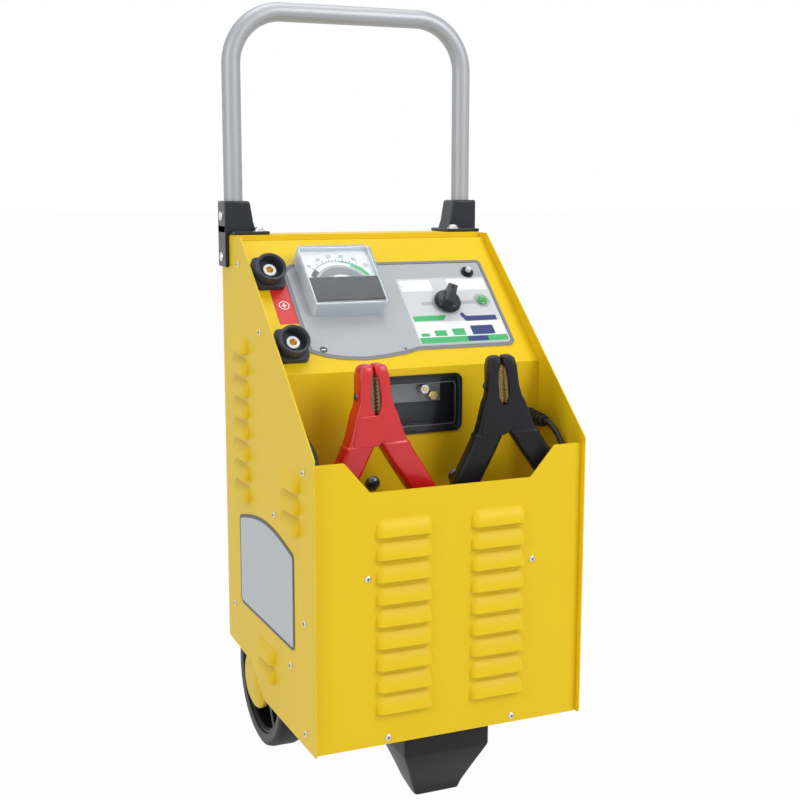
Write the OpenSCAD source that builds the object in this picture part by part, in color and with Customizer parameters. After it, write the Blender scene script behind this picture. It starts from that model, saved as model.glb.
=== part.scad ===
// Wheeled workshop battery charger: folded sheet-metal body with pressed louvres, a storage bin at
// the front, a sloping control panel, a tubular handle, two rear wheels and a moulded front foot.
// Origin: centre of the overall box, on the floor. Front faces -Y, +Z is up.

/* [Body] */
// Width of the body across the outer faces of the side panels
body_w = 360; // [340:1:400]
// Depth of the side panels, front edge to back edge
body_d = 356; // [350:1:380]
// Height of the side panels
body_h = 604; // [600:1:640]
// Height of the panels' bottom edge above the floor
body_lift = 94; // [90:1:110]
// Thickness of the sheet metal
sheet = 1.5; // [1.2:0.1:2]
// Height of the side panels' front edge, below the slope
side_front_h = 361; // [356:1:380]
// Length of the side panels' flat top edge
side_top_d = 82; // [76:1:100]
// Height of the raised bottom edge over the wheels
arch_h = 35; // [20:1:50]
// How far the side panels stand out in front of the bin
front_inset = 8; // [4:1:16]
// Width of the folded fixing flanges
flange_w = 34; // [28:1:40]

/* [Storage bin] */
// Height of the bin's front panel
bin_front_h = 353; // [340:1:356]
// Depth of the bin, front face to rear wall
bin_d = 112; // [108:1:120]
// Height of the bin's floor above the panels' bottom edge
bin_floor_h = 264.5; // [250:0.5:274]
// Depth of the hand cut-out in the front panel
cutout_h = 38; // [25:1:50]
// Half width of the cut-out at its bottom
cutout_bottom = 107; // [90:1:115]
// Half width of the cut-out at its top
cutout_top = 140; // [130:1:145]

/* [Control panel] */
// Height of the fold between the bin's rear wall and the control panel
crease_h = 442.7; // [438:0.1:450]
// Slope of the control panel
panel_angle = 43.3; // [40:0.1:46]
// Length of the control panel up the slope
panel_len = 226; // [222:1:230]

/* [Louvres] */
// Length of a louvre on the front panel
louvre_l = 74; // [50:1:80]
// Height of a louvre
louvre_h = 21; // [16:1:22]
// How far a louvre stands out
louvre_out = 8; // [6:0.5:10]
// Distance between two louvres
louvre_pitch = 27.4; // [26:0.1:28]
// Louvres in each column of the front panel
louvre_rows = 9; // [6:1:9]
// Length of a louvre on the side panels
side_louvre_l = 66; // [50:1:70]

/* [Handle] */
// Diameter of the handle tube
tube_d = 25; // [22:0.5:28]
// Wall of the handle tube
tube_wall = 1.5; // [1.2:0.1:2.5]
// Distance between the handle's legs, centre to centre
handle_w = 337; // [330:1:340]
// Height of the handle's top above the panels' bottom edge
handle_h = 909; // [850:1:950]
// Bend radius of the handle, at the middle of the tube
handle_r = 70; // [55:1:90]
// Height of the handle sockets above the body
socket_h = 44; // [36:1:50]

/* [Running gear] */
// Diameter of the wheels
wheel_d = 190; // [184:1:192]
// Width of the tyres
tyre_w = 40; // [30:1:44]
// Diameter of the rims
rim_d = 154; // [140:1:160]
// Diameter of the axle
axle_d = 14; // [12:1:16]
// Diameter of the hub caps
cap_d = 80; // [70:1:86]
// How far the wheels stand out behind the body
wheel_over = 19; // [10:1:22]
// Distance between the outer faces of the tyres
track_w = 322; // [316:1:326]

/* [Controls] */
// Side of the square ammeter
meter_w = 102; // [90:1:106]
// Height of the ammeter above the panel
meter_h = 24; // [18:1:28]
// Diameter of the selector knob
knob_d = 37; // [30:1:42]
// Diameter of the output sockets
dish_d = 39; // [34:0.5:39]
// Swing of the selector knob each way
knob_swing = 60; // [30:5:90]

/* [Clamps] */
// Length of a clamp's jaws above its pin
jaw_l = 84; // [80:1:88]
// Angle of each closed handle from the clamp's middle
grip_angle = 28; // [26:1:29]
// Width of a clamp, along its pin
clamp_w = 26; // [24:1:30]
// Diameter of the clamp's pin
pin_d = 6; // [5:0.5:7]

/* [Leads] */
// Diameter of the charging leads
lead_d = 7.5; // [6:0.5:8]
// Layers of lead in each stored coil
coil_layers = 3; // [1:1:3]

/* [Hidden] */
$fn = 64;

yellow = "#f5d000";
black = "#1d1d20";
steel = "#b4b8bc";
red = "#d0141c";
copper = "#a8683c";

// Clearances
fit = 0.3;
running = 0.05;
eps = 0.01;

// The body's own frame: Y = 0 on the front panel's outer face, Z = 0 at the panels' bottom edge
overall_d = body_d + wheel_over;
face_y = -overall_d / 2 + front_inset;
back_y = body_d - front_inset;
half_w = body_w / 2;
inner_w = half_w - sheet;
web_w = inner_w - fit;
top_h = body_h;
axle_y = back_y + wheel_over - wheel_d / 2;
axle_z = wheel_d / 2 - body_lift;
shelf_h = wheel_d / 2 + axle_z + 6;
riser_y = axle_y - wheel_d / 2 - 8;
slope_y = back_y - side_top_d;
bin_floor_t = bin_floor_h - sheet;

// Top edge of the control panel
panel_top_y = bin_d + panel_len * cos(panel_angle);
panel_top_z = crease_h + panel_len * sin(panel_angle);
lid_z = top_h + 1;
lid_y = panel_top_y + 11;
lid_hem = lid_z - panel_top_z - 0.2;

module in_body() { translate([0, face_y, body_lift]) children(); }

// Places children on the control panel: x across, s up the slope, h off its face
module on_panel(x, s, h = 0) {
    translate([0, bin_d, crease_h]) rotate([panel_angle, 0, 0]) translate([x, s, h]) children();
}

// A flat shape given in Y and Z, made t thick along X
module along_x(x, t) { translate([x, 0, 0]) rotate([90, 0, 90]) linear_extrude(t) children(); }

// A flat shape given in X and Z, made t thick along Y
module along_y(y, t) { translate([0, y + t, 0]) rotate([90, 0, 0]) linear_extrude(t) children(); }

module box(x, y, z) { translate([x[0], y[0], z[0]]) cube([x[1] - x[0], y[1] - y[0], z[1] - z[0]]); }

module rounded(w, h, r) { offset(r) square([w - 2 * r, h - 2 * r], center = true); }

module both_sides() {
    children();
    mirror([1, 0, 0]) children();
}

// ---------- Screws ----------
screw_d = 4;
screw_l = 6;
head_d = 8;
head_h = 2.4;
// Side screws: Y and Z in the body's frame
side_screws = [[26, 340], [26, 157], [26, 19], [79, 87], [137, 264], [184, 488], [274, 568], [315, 97]];
// Front screws: X and Z
front_screws = [[110.7, 210.5], [84.4, 8.5]];

// A pan-head screw, its head's seat at Z = 0 and its shank below
module screw() {
    rotate_extrude() polygon([[0, -screw_l], [screw_d / 2, -screw_l], [screw_d / 2, 0], [head_d / 2, 0],
        [head_d / 2, head_h * 0.45], [head_d * 0.33, head_h * 0.9], [0, head_h]]);
}

module side_screw_holes() {
    for (p = side_screws) translate([-half_w - 1, p[0], p[1]]) rotate([0, 90, 0])
        cylinder(d = screw_d + 0.4, h = 10);
}

module front_screw_holes() {
    for (p = front_screws) both_sides()
        translate([p[0], -1, p[1]]) rotate([-90, 0, 0]) cylinder(d = screw_d + 0.4, h = 10);
}

module panel_screws() {
    color(steel) in_body() both_sides() {
        for (p = side_screws) translate([-half_w, p[0], p[1]]) rotate([0, -90, 0]) screw();
        for (p = front_screws) translate([p[0], 0, p[1]]) rotate([90, 0, 0]) screw();
    }
}

// ---------- Louvres ----------
// A hooded louvre: X along its length, Y up from the lip, Z out from the sheet's face
module louvre(l) {
    behind = (louvre_h * louvre_h - louvre_out * louvre_out) / (2 * louvre_out);
    r = behind + louvre_out;
    sweep = asin(louvre_h / r) + 1;
    hood = sheet * 0.8;
    end_r = louvre_out;
    intersection() {
        translate([0, 0, -behind]) rotate([0, -90, 0]) rotate_extrude(angle = sweep, $fn = 96) difference() {
            hood_outline(l, r, end_r, behind - 1);
            hood_outline(l - 2 * hood, r - hood, end_r - hood, behind - 2);
        }
        translate([-l / 2 - 1, -1, -sheet * 0.8]) cube([l + 2, louvre_h + 3, louvre_out + 3]);
    }
}

module hood_outline(l, r, end_r, foot) {
    translate([foot, -l / 2]) square([r - end_r - foot, l]);
    translate([r - end_r - eps, -l / 2 + end_r]) square([end_r + eps, l - 2 * end_r]);
    for (k = [-1, 1]) translate([r - end_r, k * (l / 2 - end_r)]) circle(end_r, $fn = 32);
}

module louvre_slot(l) {
    translate([-l / 2 + 3, 0, -10]) cube([l - 6, louvre_h * 0.8, 20]);
}

// Louvre lips on the front panel: X of the middle, Z of the lip
front_louvres = [for (k = [0:louvre_rows - 1]) for (x = [-63, 63]) [x, 260.5 - k * louvre_pitch]];
// Louvre lips on each side panel: Y of the middle, Z of the lip
side_louvres = concat([for (k = [0:7]) [272, 454 - k * 28.2]], [for (k = [0:2]) [76, 312 - k * 26.5]],
    [for (k = [0:1]) [176, 65 - k * 26]]);

module on_front(p) { translate([p[0], 0, p[1]]) rotate([90, 0, 0]) children(); }

module on_left(p) { translate([-half_w, p[0], p[1]]) rotate([90, 0, -90]) children(); }

// ---------- Sheet metal ----------
module side_outline() {
    offset(4) offset(-4) polygon([[-front_inset, 0], [riser_y + 23, 0], [riser_y + 79, arch_h],
        [back_y, arch_h + 6], [back_y, top_h], [slope_y, top_h], [-front_inset, side_front_h]]);
}

module side_panel() {
    difference() {
        along_x(-half_w, sheet) side_outline();
        for (p = side_louvres) on_left(p) louvre_slot(side_louvre_l);
        side_screw_holes();
    }
    for (p = side_louvres) on_left(p) louvre(side_louvre_l);
}

module left_side_panel() { color(yellow) in_body() side_panel(); }

module right_side_panel() { color(yellow) in_body() mirror([1, 0, 0]) side_panel(); }

module front_outline() {
    low = bin_front_h - cutout_h;
    offset(-3) offset(6) offset(-3) polygon([[-web_w, 0], [web_w, 0], [web_w, bin_front_h],
        [cutout_top, bin_front_h], [cutout_bottom, low], [-cutout_bottom, low], [-cutout_top, bin_front_h],
        [-web_w, bin_front_h]]);
}

module front_panel() {
    color(yellow) in_body() {
        difference() {
            along_y(0, sheet) front_outline();
            for (p = front_louvres) on_front(p) louvre_slot(louvre_l);
            front_screw_holes();
        }
        for (p = front_louvres) on_front(p) louvre(louvre_l);
        difference() {
            both_sides() box([-web_w, -web_w + sheet], [sheet, flange_w + 4], [3, bin_front_h - 5]);
            both_sides() side_screw_holes();
        }
    }
}

// The folded sheet: rear wall of the bin, sloping control panel and front of the lid
module control_panel() {
    k = tan((90 - panel_angle) / 2);
    top_k = tan(panel_angle / 2);
    color(yellow) in_body() difference() {
        union() {
            along_x(-web_w, 2 * web_w) polygon([[bin_d, bin_floor_h - 30], [bin_d, crease_h],
                [panel_top_y, panel_top_z], [lid_y + 30, panel_top_z], [lid_y + 30, panel_top_z - sheet],
                [panel_top_y + sheet * top_k, panel_top_z - sheet], [bin_d + sheet, crease_h - sheet * k],
                [bin_d + sheet, bin_floor_h - 30]]);
            both_sides() along_x(-web_w, sheet) polygon([[bin_d + sheet / 2, bin_floor_h - 30],
                [bin_d + sheet / 2, crease_h - sheet / 2 * k],
                [panel_top_y + sheet / 2 * top_k, panel_top_z - sheet / 2],
                [panel_top_y + 12, panel_top_z - 32], [bin_d + flange_w, crease_h - 40],
                [bin_d + flange_w, bin_floor_h - 30]]);
        }
        both_sides() side_screw_holes();
        for (s = socket_s) on_panel(socket_x, s, -30) cylinder(d = 12, h = 60);
        on_panel(meter_x, meter_s, -30) cylinder(d = barrel_d + 1, h = 60);
        on_panel(knob_x, knob_s, -30) cylinder(d = bush_d + fit, h = 60);
        on_panel(button_x, button_s, -30) cylinder(d = breaker_d + fit, h = 60);
        on_panel(lamp_x, lamp_s, -30) cylinder(d = lamp_d + fit, h = 60);
        along_y(bin_d - 5, 20) translate([fuse_x, fuse_z]) square([fuse_w - 14, fuse_h - 14], center = true);
        for (x = [-gland_x, gland_x]) translate([x, bin_d - 5, gland_z]) rotate([-90, 0, 0])
            cylinder(d = gland_d + fit, h = 20);
        both_sides() translate([bolt_x, bin_d - 5, bolt_z]) rotate([-90, 0, 0]) cylinder(d = 8.4, h = 20);
    }
}

module bin_floor() {
    color(yellow) in_body() {
        w = web_w - sheet - fit;
        box([-w, w], [sheet + fit, bin_d - fit], [bin_floor_t, bin_floor_h]);
        box([-w, w], [bin_d - fit - sheet, bin_d - fit], [bin_floor_h - 28, bin_floor_h - eps]);
    }
}

module back_panel() {
    slot_w = 60;
    low = shelf_h + 2;
    color(yellow) in_body() {
        difference() {
            along_x(-web_w, 2 * web_w) polygon([[back_y, low], [back_y, lid_z], [lid_y, lid_z],
                [lid_y, lid_z - lid_hem], [lid_y + sheet, lid_z - lid_hem], [lid_y + sheet, lid_z - sheet],
                [back_y - sheet, lid_z - sheet], [back_y - sheet, low]]);
            for (z = [180:24:420]) for (x = [-90, 0, 90])
                translate([x - slot_w / 2, back_y - 10, z]) cube([slot_w, 20, 6]);
            translate([0, back_y + 5, inlet_z]) rotate([90, 0, 0]) cylinder(d = inlet_d, h = 20);
        }
        both_sides()
            box([-web_w, -web_w + sheet], [back_y - flange_w - 4, back_y - sheet / 2], [low + 2, lid_z - 60]);
    }
}

inlet_z = shelf_h + 38;
inlet_d = 16;

module base_tray() {
    tray_z = 1.5;
    rim = 104;
    color(yellow) in_body() difference() {
        union() {
            box([-web_w, web_w], [flange_w + 6, riser_y], [tray_z, tray_z + sheet]);
            box([-140, 140], [sheet + fit, flange_w + 6 + eps], [tray_z, tray_z + sheet]);
            box([-140, 140], [sheet + fit, 2 * sheet + fit], [tray_z, 22]);
            box([-web_w, web_w], [riser_y - sheet, riser_y], [tray_z, shelf_h]);
            box([-web_w, web_w], [riser_y - sheet, back_y - sheet - fit], [shelf_h - sheet, shelf_h]);
            both_sides() box([-web_w, -web_w + sheet], [flange_w + 6, riser_y], [tray_z, rim]);
        }
        both_sides() side_screw_holes();
        front_screw_holes();
        for (x = [-foot_bolt_x, foot_bolt_x]) translate([x, foot_y + foot_d / 2, -5])
            cylinder(d = 6.4, h = 20);
    }
}

// ---------- Handle ----------
handle_y = back_y - 18;
leg_foot = lid_z + 4;

module tube_ring() {
    difference() {
        circle(d = tube_d);
        circle(d = tube_d - 2 * tube_wall);
    }
}

module handle_tube() {
    bend_z = handle_h - tube_d / 2 - handle_r;
    color(steel) in_body() translate([0, handle_y, 0]) {
        both_sides() {
            translate([-handle_w / 2, 0, leg_foot]) linear_extrude(bend_z - leg_foot) tube_ring();
            translate([-handle_w / 2 + handle_r, 0, bend_z]) rotate([90, 0, 0]) rotate([0, 0, 90])
                rotate_extrude(angle = 90) translate([handle_r, 0]) tube_ring();
        }
        translate([-handle_w / 2 + handle_r, 0, bend_z + handle_r]) rotate([0, 90, 0])
            linear_extrude(handle_w - 2 * handle_r) tube_ring();
    }
}

bracket_out = 8;
leg_drop = 43;
bolt_head = 2.6;
bracket_half = 18;
bracket_in = handle_w / 2 - tube_d / 2 - 5;
bracket_x = half_w + bracket_out;

// Left bracket: a tapered socket with a gusset and foot on the lid, and a leg down the side panel
module handle_bracket() {
    difference() {
        union() {
            along_y(handle_y - 10, 20) polygon([[-bracket_x, lid_z], [-handle_w / 2 + 38, lid_z],
                [-bracket_in + 4, lid_z + socket_h - 4], [-bracket_in, lid_z + socket_h],
                [-bracket_x, lid_z + socket_h]]);
            translate([-(bracket_x + bracket_in) / 2, handle_y, lid_z]) linear_extrude(socket_h)
                rounded(bracket_x - bracket_in, 2 * bracket_half, 6);
            translate([-half_w + 24 + 0.5, (lid_y + back_y) / 2 - 1, lid_z]) linear_extrude(4.5)
                rounded(49, back_y - lid_y, 8);
            along_x(-bracket_x, bracket_out - fit) translate([handle_y, lid_z - leg_drop]) {
                circle(bracket_half - 1);
                translate([1 - bracket_half, 0]) square([2 * bracket_half - 2, leg_drop + 10]);
            }
        }
        translate([-handle_w / 2, handle_y, leg_foot - fit]) cylinder(d = tube_d + 2 * running, h = 100);
        translate([-handle_w / 2 + 24, lid_y + 14, lid_z - 5]) cylinder(d = 5.4, h = 20);
        for (z = [lid_z - leg_drop, lid_z + 30]) translate([-bracket_x - 1, handle_y, z]) rotate([0, 90, 0]) {
            cylinder(d = 5.4, h = 14);
            cylinder(d = 11.4, h = 1 + bolt_head);
        }
    }
}

module left_handle_bracket() { color(black) in_body() handle_bracket(); }

module right_handle_bracket() { color(black) in_body() mirror([1, 0, 0]) handle_bracket(); }

module handle_screws() {
    color(steel) in_body() both_sides() {
        for (z = [lid_z - leg_drop, lid_z + 30]) translate([-bracket_x, handle_y, z]) rotate([0, 90, 0]) {
            cylinder(d = 11, h = bolt_head - 0.1);
            cylinder(d = 5, h = z < lid_z ? bracket_out - 0.5 : bracket_x - handle_w / 2 - tube_d / 2 - 0.4);
        }
        translate([-handle_w / 2 + 24, lid_y + 14, lid_z + 4.6]) {
            cylinder(d = 11, h = bolt_head);
            translate([0, 0, -4.4]) cylinder(d = 5, h = 5);
        }
    }
}

// ---------- Wheels, axle and foot ----------
tyre_x = track_w / 2;
hub_d = 40;
cap_h = 8;
hanger_x = 105;
hanger_t = 3;

module on_axle() { in_body() translate([0, axle_y, axle_z]) children(); }

// A turned shape: its profile's X is the radius, its profile's Y runs outward from the wheel's outer face
module turned(x) { translate([x, 0, 0]) rotate([0, 90, 0]) rotate_extrude($fn = 96) children(); }

module rim() {
    r = rim_d / 2;
    difference() {
        union() {
            turned(tyre_x) polygon([[r - 6, -tyre_w + 3], [r, -tyre_w + 3], [r, -3], [r - 4, -3], [r - 5, -6],
                [r - 6, -6]]);
            turned(tyre_x) polygon([[0, -tyre_w], [hub_d / 2, -tyre_w], [hub_d / 2, -0.2], [0, -0.2]]);
            turned(tyre_x) polygon([[hub_d / 2 - 1, -22], [r - 5, -26], [r - 5, -22], [hub_d / 2 - 1, -18]]);
            for (a = [0:60:300]) rotate([a, 0, 0])
                box([tyre_x - 24, tyre_x - 8], [hub_d / 2 - 2, r - 5.5], [-4, 4]);
        }
        turned(tyre_x) translate([0, -tyre_w - 1]) square([axle_d / 2 + running, tyre_w + 2]);
    }
}

module tyre() {
    r = wheel_d / 2;
    c = 8;
    mid = -tyre_w / 2;
    turned(tyre_x) polygon([[rim_d / 2 + 0.1, -tyre_w + 1], [r - c, -tyre_w], [r - 2, -tyre_w + 5],
        [r, -tyre_w + 11], [r, mid - 5], [r - 3, mid - 4], [r - 3, mid - 2], [r, mid - 1],
        [r, mid + 1], [r - 3, mid + 2], [r - 3, mid + 4], [r, mid + 5], [r, -11], [r - 2, -5],
        [r - c, 0], [rim_d / 2 + 0.1, -1]]);
}

module hub_cap() {
    r = cap_d / 2;
    turned(tyre_x) polygon([[hub_d / 2 + 1, -8], [r - 3, -7.9], [r, -5], [r, 1], [r - 3, 4],
        [r - 14, cap_h], [0, cap_h], [0, cap_h - 2.5], [hub_d / 2 - 2, cap_h - 2.5], [hub_d / 2 + 1, 1]]);
}

module left_rim() { color(black) on_axle() mirror([1, 0, 0]) rim(); }

module right_rim() { color(black) on_axle() rim(); }

module left_tyre() { color(black) on_axle() mirror([1, 0, 0]) tyre(); }

module right_tyre() { color(black) on_axle() tyre(); }

module left_hub_cap() { color(yellow) on_axle() mirror([1, 0, 0]) hub_cap(); }

module right_hub_cap() { color(yellow) on_axle() hub_cap(); }

module axle() {
    r = axle_d / 2;
    inner = hanger_x + hanger_t / 2 + 0.3;
    color(steel) on_axle() both_sides() turned(0) polygon([[0, -eps], [r, -eps], [r, inner],
        [r + 4, inner], [r + 4, tyre_x - tyre_w - 0.4], [r, tyre_x - tyre_w - 0.4], [r, tyre_x],
        [r + 4, tyre_x], [r + 4, tyre_x + 2], [0, tyre_x + 2]]);
}

module axle_hangers() {
    top = shelf_h - sheet - axle_z - 0.1;
    color(yellow) on_axle() both_sides() difference() {
        union() {
            along_x(hanger_x - hanger_t / 2, hanger_t)
                polygon([[-18, -16], [18, -16], [38, top - 12], [38, top], [-38, top], [-38, top - 12]]);
            box([hanger_x - 26, hanger_x], [-38, 38], [top - hanger_t, top]);
        }
        translate([hanger_x - 5, 0, 0]) rotate([0, 90, 0]) cylinder(d = axle_d + 2 * running, h = 10);
    }
}

foot_y = 10;
foot_d = 54;
foot_w = 120;
foot_bolt_x = 36;
foot_top = 1.4;

module front_foot() {
    mid = -body_lift * 0.4;
    w = foot_w / 2;
    color(black) in_body() difference() {
        intersection() {
            along_y(foot_y, foot_d) offset(2) offset(-2) polygon([[-w, foot_top], [w, foot_top], [w, -4],
                [w * 0.8, mid], [w * 0.48, -body_lift], [-w * 0.48, -body_lift], [-w * 0.8, mid], [-w, -4]]);
            along_x(-w, 2 * w) offset(2) offset(-2) polygon([[foot_y, foot_top], [foot_y + foot_d, foot_top],
                [foot_y + foot_d, -4], [foot_y + foot_d - 9, mid], [foot_y + foot_d - 16, -body_lift],
                [foot_y + 26, -body_lift], [foot_y + 9, mid], [foot_y, -4]]);
        }
        for (x = [-foot_bolt_x, foot_bolt_x]) translate([x, foot_y + foot_d / 2, foot_top - 16])
            cylinder(d = 6.2, h = 20);
    }
}

module foot_bolts() {
    color(steel) in_body() for (x = [-foot_bolt_x, foot_bolt_x]) translate([x, foot_y + foot_d / 2, 3.1]) {
        cylinder(d = 12, h = 5, $fn = 6);
        translate([0, 0, -16]) cylinder(d = 6, h = 17);
    }
}

// ---------- Meter ----------
meter_x = -63;
meter_s = 141;
barrel_d = 64;
plate_t = 1;
plate_h = 0.1;
face_h = plate_h + plate_t + 0.1;
needle_l = 42;
needle_rest = 64;
pivot_s = -16;
pivot_d = 3;
case_wall = 2.2;

module meter_case() {
    color(black) in_body() on_panel(meter_x, meter_s, face_h) {
        linear_extrude(4) rounded(meter_w - 7, meter_w - 7, 4);
        translate([0, 0, -46]) cylinder(d = barrel_d, h = 47);
        translate([0, pivot_s, 3]) cylinder(d = 6, h = 2.9);
        translate([0, pivot_s, 3]) cylinder(d = pivot_d, h = 5.8);
    }
}

module meter_dial() {
    color("white") in_body() on_panel(meter_x, meter_s, face_h + 4.1) difference() {
        linear_extrude(1) rounded(meter_w - 9, meter_w - 9, 4);
        translate([0, pivot_s, -1]) cylinder(d = 12, h = 4);
    }
}

module meter_needle() {
    color(black) in_body() on_panel(meter_x, meter_s + pivot_s, face_h + 6) difference() {
        union() {
            cylinder(d = 10, h = 3);
            rotate([0, 0, needle_rest]) translate([-0.6, -9, 0.8]) cube([1.2, needle_l + 9, 0.8]);
        }
        translate([0, 0, -1]) cylinder(d = pivot_d + 2 * running, h = 5);
    }
}

module meter_mask() {
    m = meter_w - 2 * case_wall - 2 * fit;
    color(black) in_body() on_panel(meter_x, meter_s, face_h + 10) difference() {
        translate([-m / 2, -m / 2 + 4]) linear_extrude(meter_h - 14) square([m, m / 2 - 4]);
        translate([-m, -m / 2 + 8, -1]) cube([2 * m, m / 2 - 14, meter_h - 16]);
    }
}

module meter_window() {
    inner = meter_w - 2 * case_wall;
    color("#dfe6e8", 0.35) in_body() on_panel(meter_x, meter_s, face_h) difference() {
        linear_extrude(meter_h) rounded(meter_w, meter_w, 5);
        translate([0, 0, -1]) linear_extrude(meter_h + 1 - case_wall) rounded(inner, inner, 3);
    }
}

// ---------- Control panel fittings ----------
knob_x = 80;
knob_s = 104;
bush_d = 10;
shaft_d = 6;
button_x = 129;
button_s = 158;
breaker_d = 12;
button_d = 8;
lamp_x = 133;
lamp_s = 107;
lamp_d = 11;

module fascia_outline() {
    offset(4) offset(-4) polygon([[-133, 34], [-112, 24.3], [-90, 19.2], [-61, 16.1], [-30, 18.8], [-4, 22.7],
        [16, 28], [149, 28], [156, 35], [156, 177], [152, 181.5], [-121, 181.5], [-133, 169]]);
}

module fascia_plate() {
    color("#f2f3f1") in_body() on_panel(0, 0, plate_h) difference() {
        linear_extrude(plate_t) fascia_outline();
        translate([meter_x, meter_s, -1]) cylinder(d = barrel_d + 1, h = 5);
        translate([knob_x, knob_s, -1]) cylinder(d = bush_d + fit, h = 5);
        translate([button_x, button_s, -1]) cylinder(d = breaker_d + fit, h = 5);
        translate([lamp_x, lamp_s, -1]) cylinder(d = lamp_d + fit, h = 5);
    }
}

module selector_switch() {
    color(black) in_body() on_panel(knob_x, knob_s) {
        translate([0, 0, -sheet - 0.1 - 28]) linear_extrude(28) rounded(44, 44, 5);
        translate([0, 0, -sheet - 1]) cylinder(d = bush_d, h = sheet + 1 + 4);
        cylinder(d = shaft_d, h = 16);
    }
}

module selector_knob() {
    color(black) in_body() on_panel(knob_x, knob_s, face_h + 3.2) difference() {
        union() {
            rotate_extrude() polygon([[0, 0], [knob_d / 2, 0], [knob_d / 2, 3], [knob_d / 2 - 2.5, 6],
                [knob_d / 2 - 3.5, 8], [0, 8]]);
            rotate([0, 0, -28]) translate([-5.5, -knob_d / 2 + 4.5, 4]) cube([11, knob_d - 9, 14]);
        }
        translate([0, 0, -1]) cylinder(d = shaft_d + 2 * running, h = 13);
    }
}

module breaker_body() {
    color(black) in_body() on_panel(button_x, button_s) difference() {
        union() {
            translate([0, 0, -sheet - 0.1 - 34]) linear_extrude(34) rounded(18, 34, 2);
            translate([0, 0, -sheet - 1]) cylinder(d = breaker_d, h = sheet + 1 + 6);
            translate([0, 0, face_h]) cylinder(d = 17, h = 3);
        }
        translate([0, 0, -12]) cylinder(d = button_d + 2 * running, h = 30);
    }
}

module breaker_button() {
    color(black) in_body() on_panel(button_x, button_s, -8) rotate_extrude()
        polygon([[0, 0], [button_d / 2, 0], [button_d / 2, 18], [button_d / 2 - 1, 19], [0, 19]]);
}

module pilot_lamp() {
    color("#1f8a3c") in_body() on_panel(lamp_x, lamp_s) rotate_extrude() polygon([[0, -20], [lamp_d / 2, -20],
        [lamp_d / 2, face_h], [7.5, face_h], [7.5, face_h + 2], [6, face_h + 2.5], [5.4, face_h + 5],
        [3.4, face_h + 7], [0, face_h + 8]]);
}

socket_x = -156;
socket_s = [39, 160];
socket_tilt = 12;
socket_block = [40, 43];
stem_d = 11;
contact_d = 9;

// Output socket: a wedge-shaped block with a deep round dish
module socket(s) {
    mid = 11;
    in_body() on_panel(socket_x, s, 0.1) difference() {
        union() {
            difference() {
                linear_extrude(30) rounded(socket_block[0], socket_block[1], 7);
                translate([0, 0, mid]) rotate([socket_tilt, 0, 0]) translate([-50, -50, 0]) cube(100);
            }
            translate([0, 0, mid]) rotate([socket_tilt, 0, 0]) translate([0, 0, -4])
                cylinder(d = dish_d, h = 18);
            translate([0, 0, -14]) cylinder(d = stem_d, h = 16);
        }
        translate([0, 0, mid]) rotate([socket_tilt, 0, 0]) {
            translate([0, 0, 1]) cylinder(d = dish_d - 7, h = 20);
            translate([0, 0, -5]) cylinder(d = contact_d + 2.3, h = 20);
        }
    }
}

module lower_socket() { color(black) socket(socket_s[0]); }

module upper_socket() { color(black) socket(socket_s[1]); }

module socket_contacts() {
    color("#c8a850") in_body() for (s = socket_s) on_panel(socket_x, s, 11.1) rotate([socket_tilt, 0, 0])
        difference() {
            union() {
                translate([0, 0, -4.5]) cylinder(d = contact_d + 2, h = 10);
                translate([0, 0, 1.1]) cylinder(d = contact_d + 7, h = 3);
            }
            translate([0, 0, -3]) cylinder(d = contact_d, h = 12);
        }
}

// ---------- Fuse box, glands and bolts on the bin's rear wall ----------
fuse_x = -5;
fuse_z = 396;
fuse_w = 141;
fuse_h = 75;
fuse_deep = 16;
stud_d = 6;
// Studs of the strip fuse: X and Z
studs = [[-37.5, 408], [16, 414], [28.6, 405]];
gland_x = 165;
gland_z = 370;
gland_d = 14;
boot_l = 44;
bolt_x = 58;
bolt_z = bin_floor_h + 34;

module on_wall(x, z) { translate([x, bin_d, z]) rotate([90, 0, 0]) children(); }

module fuse_frame() {
    color(black) in_body() on_wall(fuse_x, fuse_z) difference() {
        union() {
            translate([0, 0, 0.1]) linear_extrude(3) rounded(fuse_w, fuse_h, 10);
            translate([0, 0, -fuse_deep]) linear_extrude(fuse_deep + 1) rounded(fuse_w - 15, fuse_h - 15, 4);
        }
        translate([0, 0, 3 - fuse_deep]) linear_extrude(fuse_deep + 5) rounded(fuse_w - 21, fuse_h - 21, 3);
        for (p = studs) translate([p[0] - fuse_x, p[1] - fuse_z, -fuse_deep - 1])
            cylinder(d = stud_d + 0.4, h = 9);
    }
}

module fuse_cover() {
    color("#dfe6e8", 0.35) in_body() on_wall(fuse_x, fuse_z) translate([0, 0, 3.2]) linear_extrude(1.5)
        rounded(fuse_w - 8, fuse_h - 8, 7);
}

module fuse_strip() {
    color("#c9ccd0") in_body() on_wall(0, 0) difference() {
        translate([-49, 397, 3.1 - fuse_deep]) cube([90, 23, 1]);
        for (p = studs) translate([p[0], p[1], -fuse_deep]) cylinder(d = stud_d + 0.6, h = 9);
    }
}

module fuse_studs() {
    color("#c8a850") in_body() on_wall(0, 0) for (p = studs) translate([p[0], p[1], 4.2 - fuse_deep]) {
        translate([0, 0, -4]) cylinder(d = stud_d, h = 14);
        cylinder(d = 11.5, h = 5, $fn = 6);
    }
}

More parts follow.
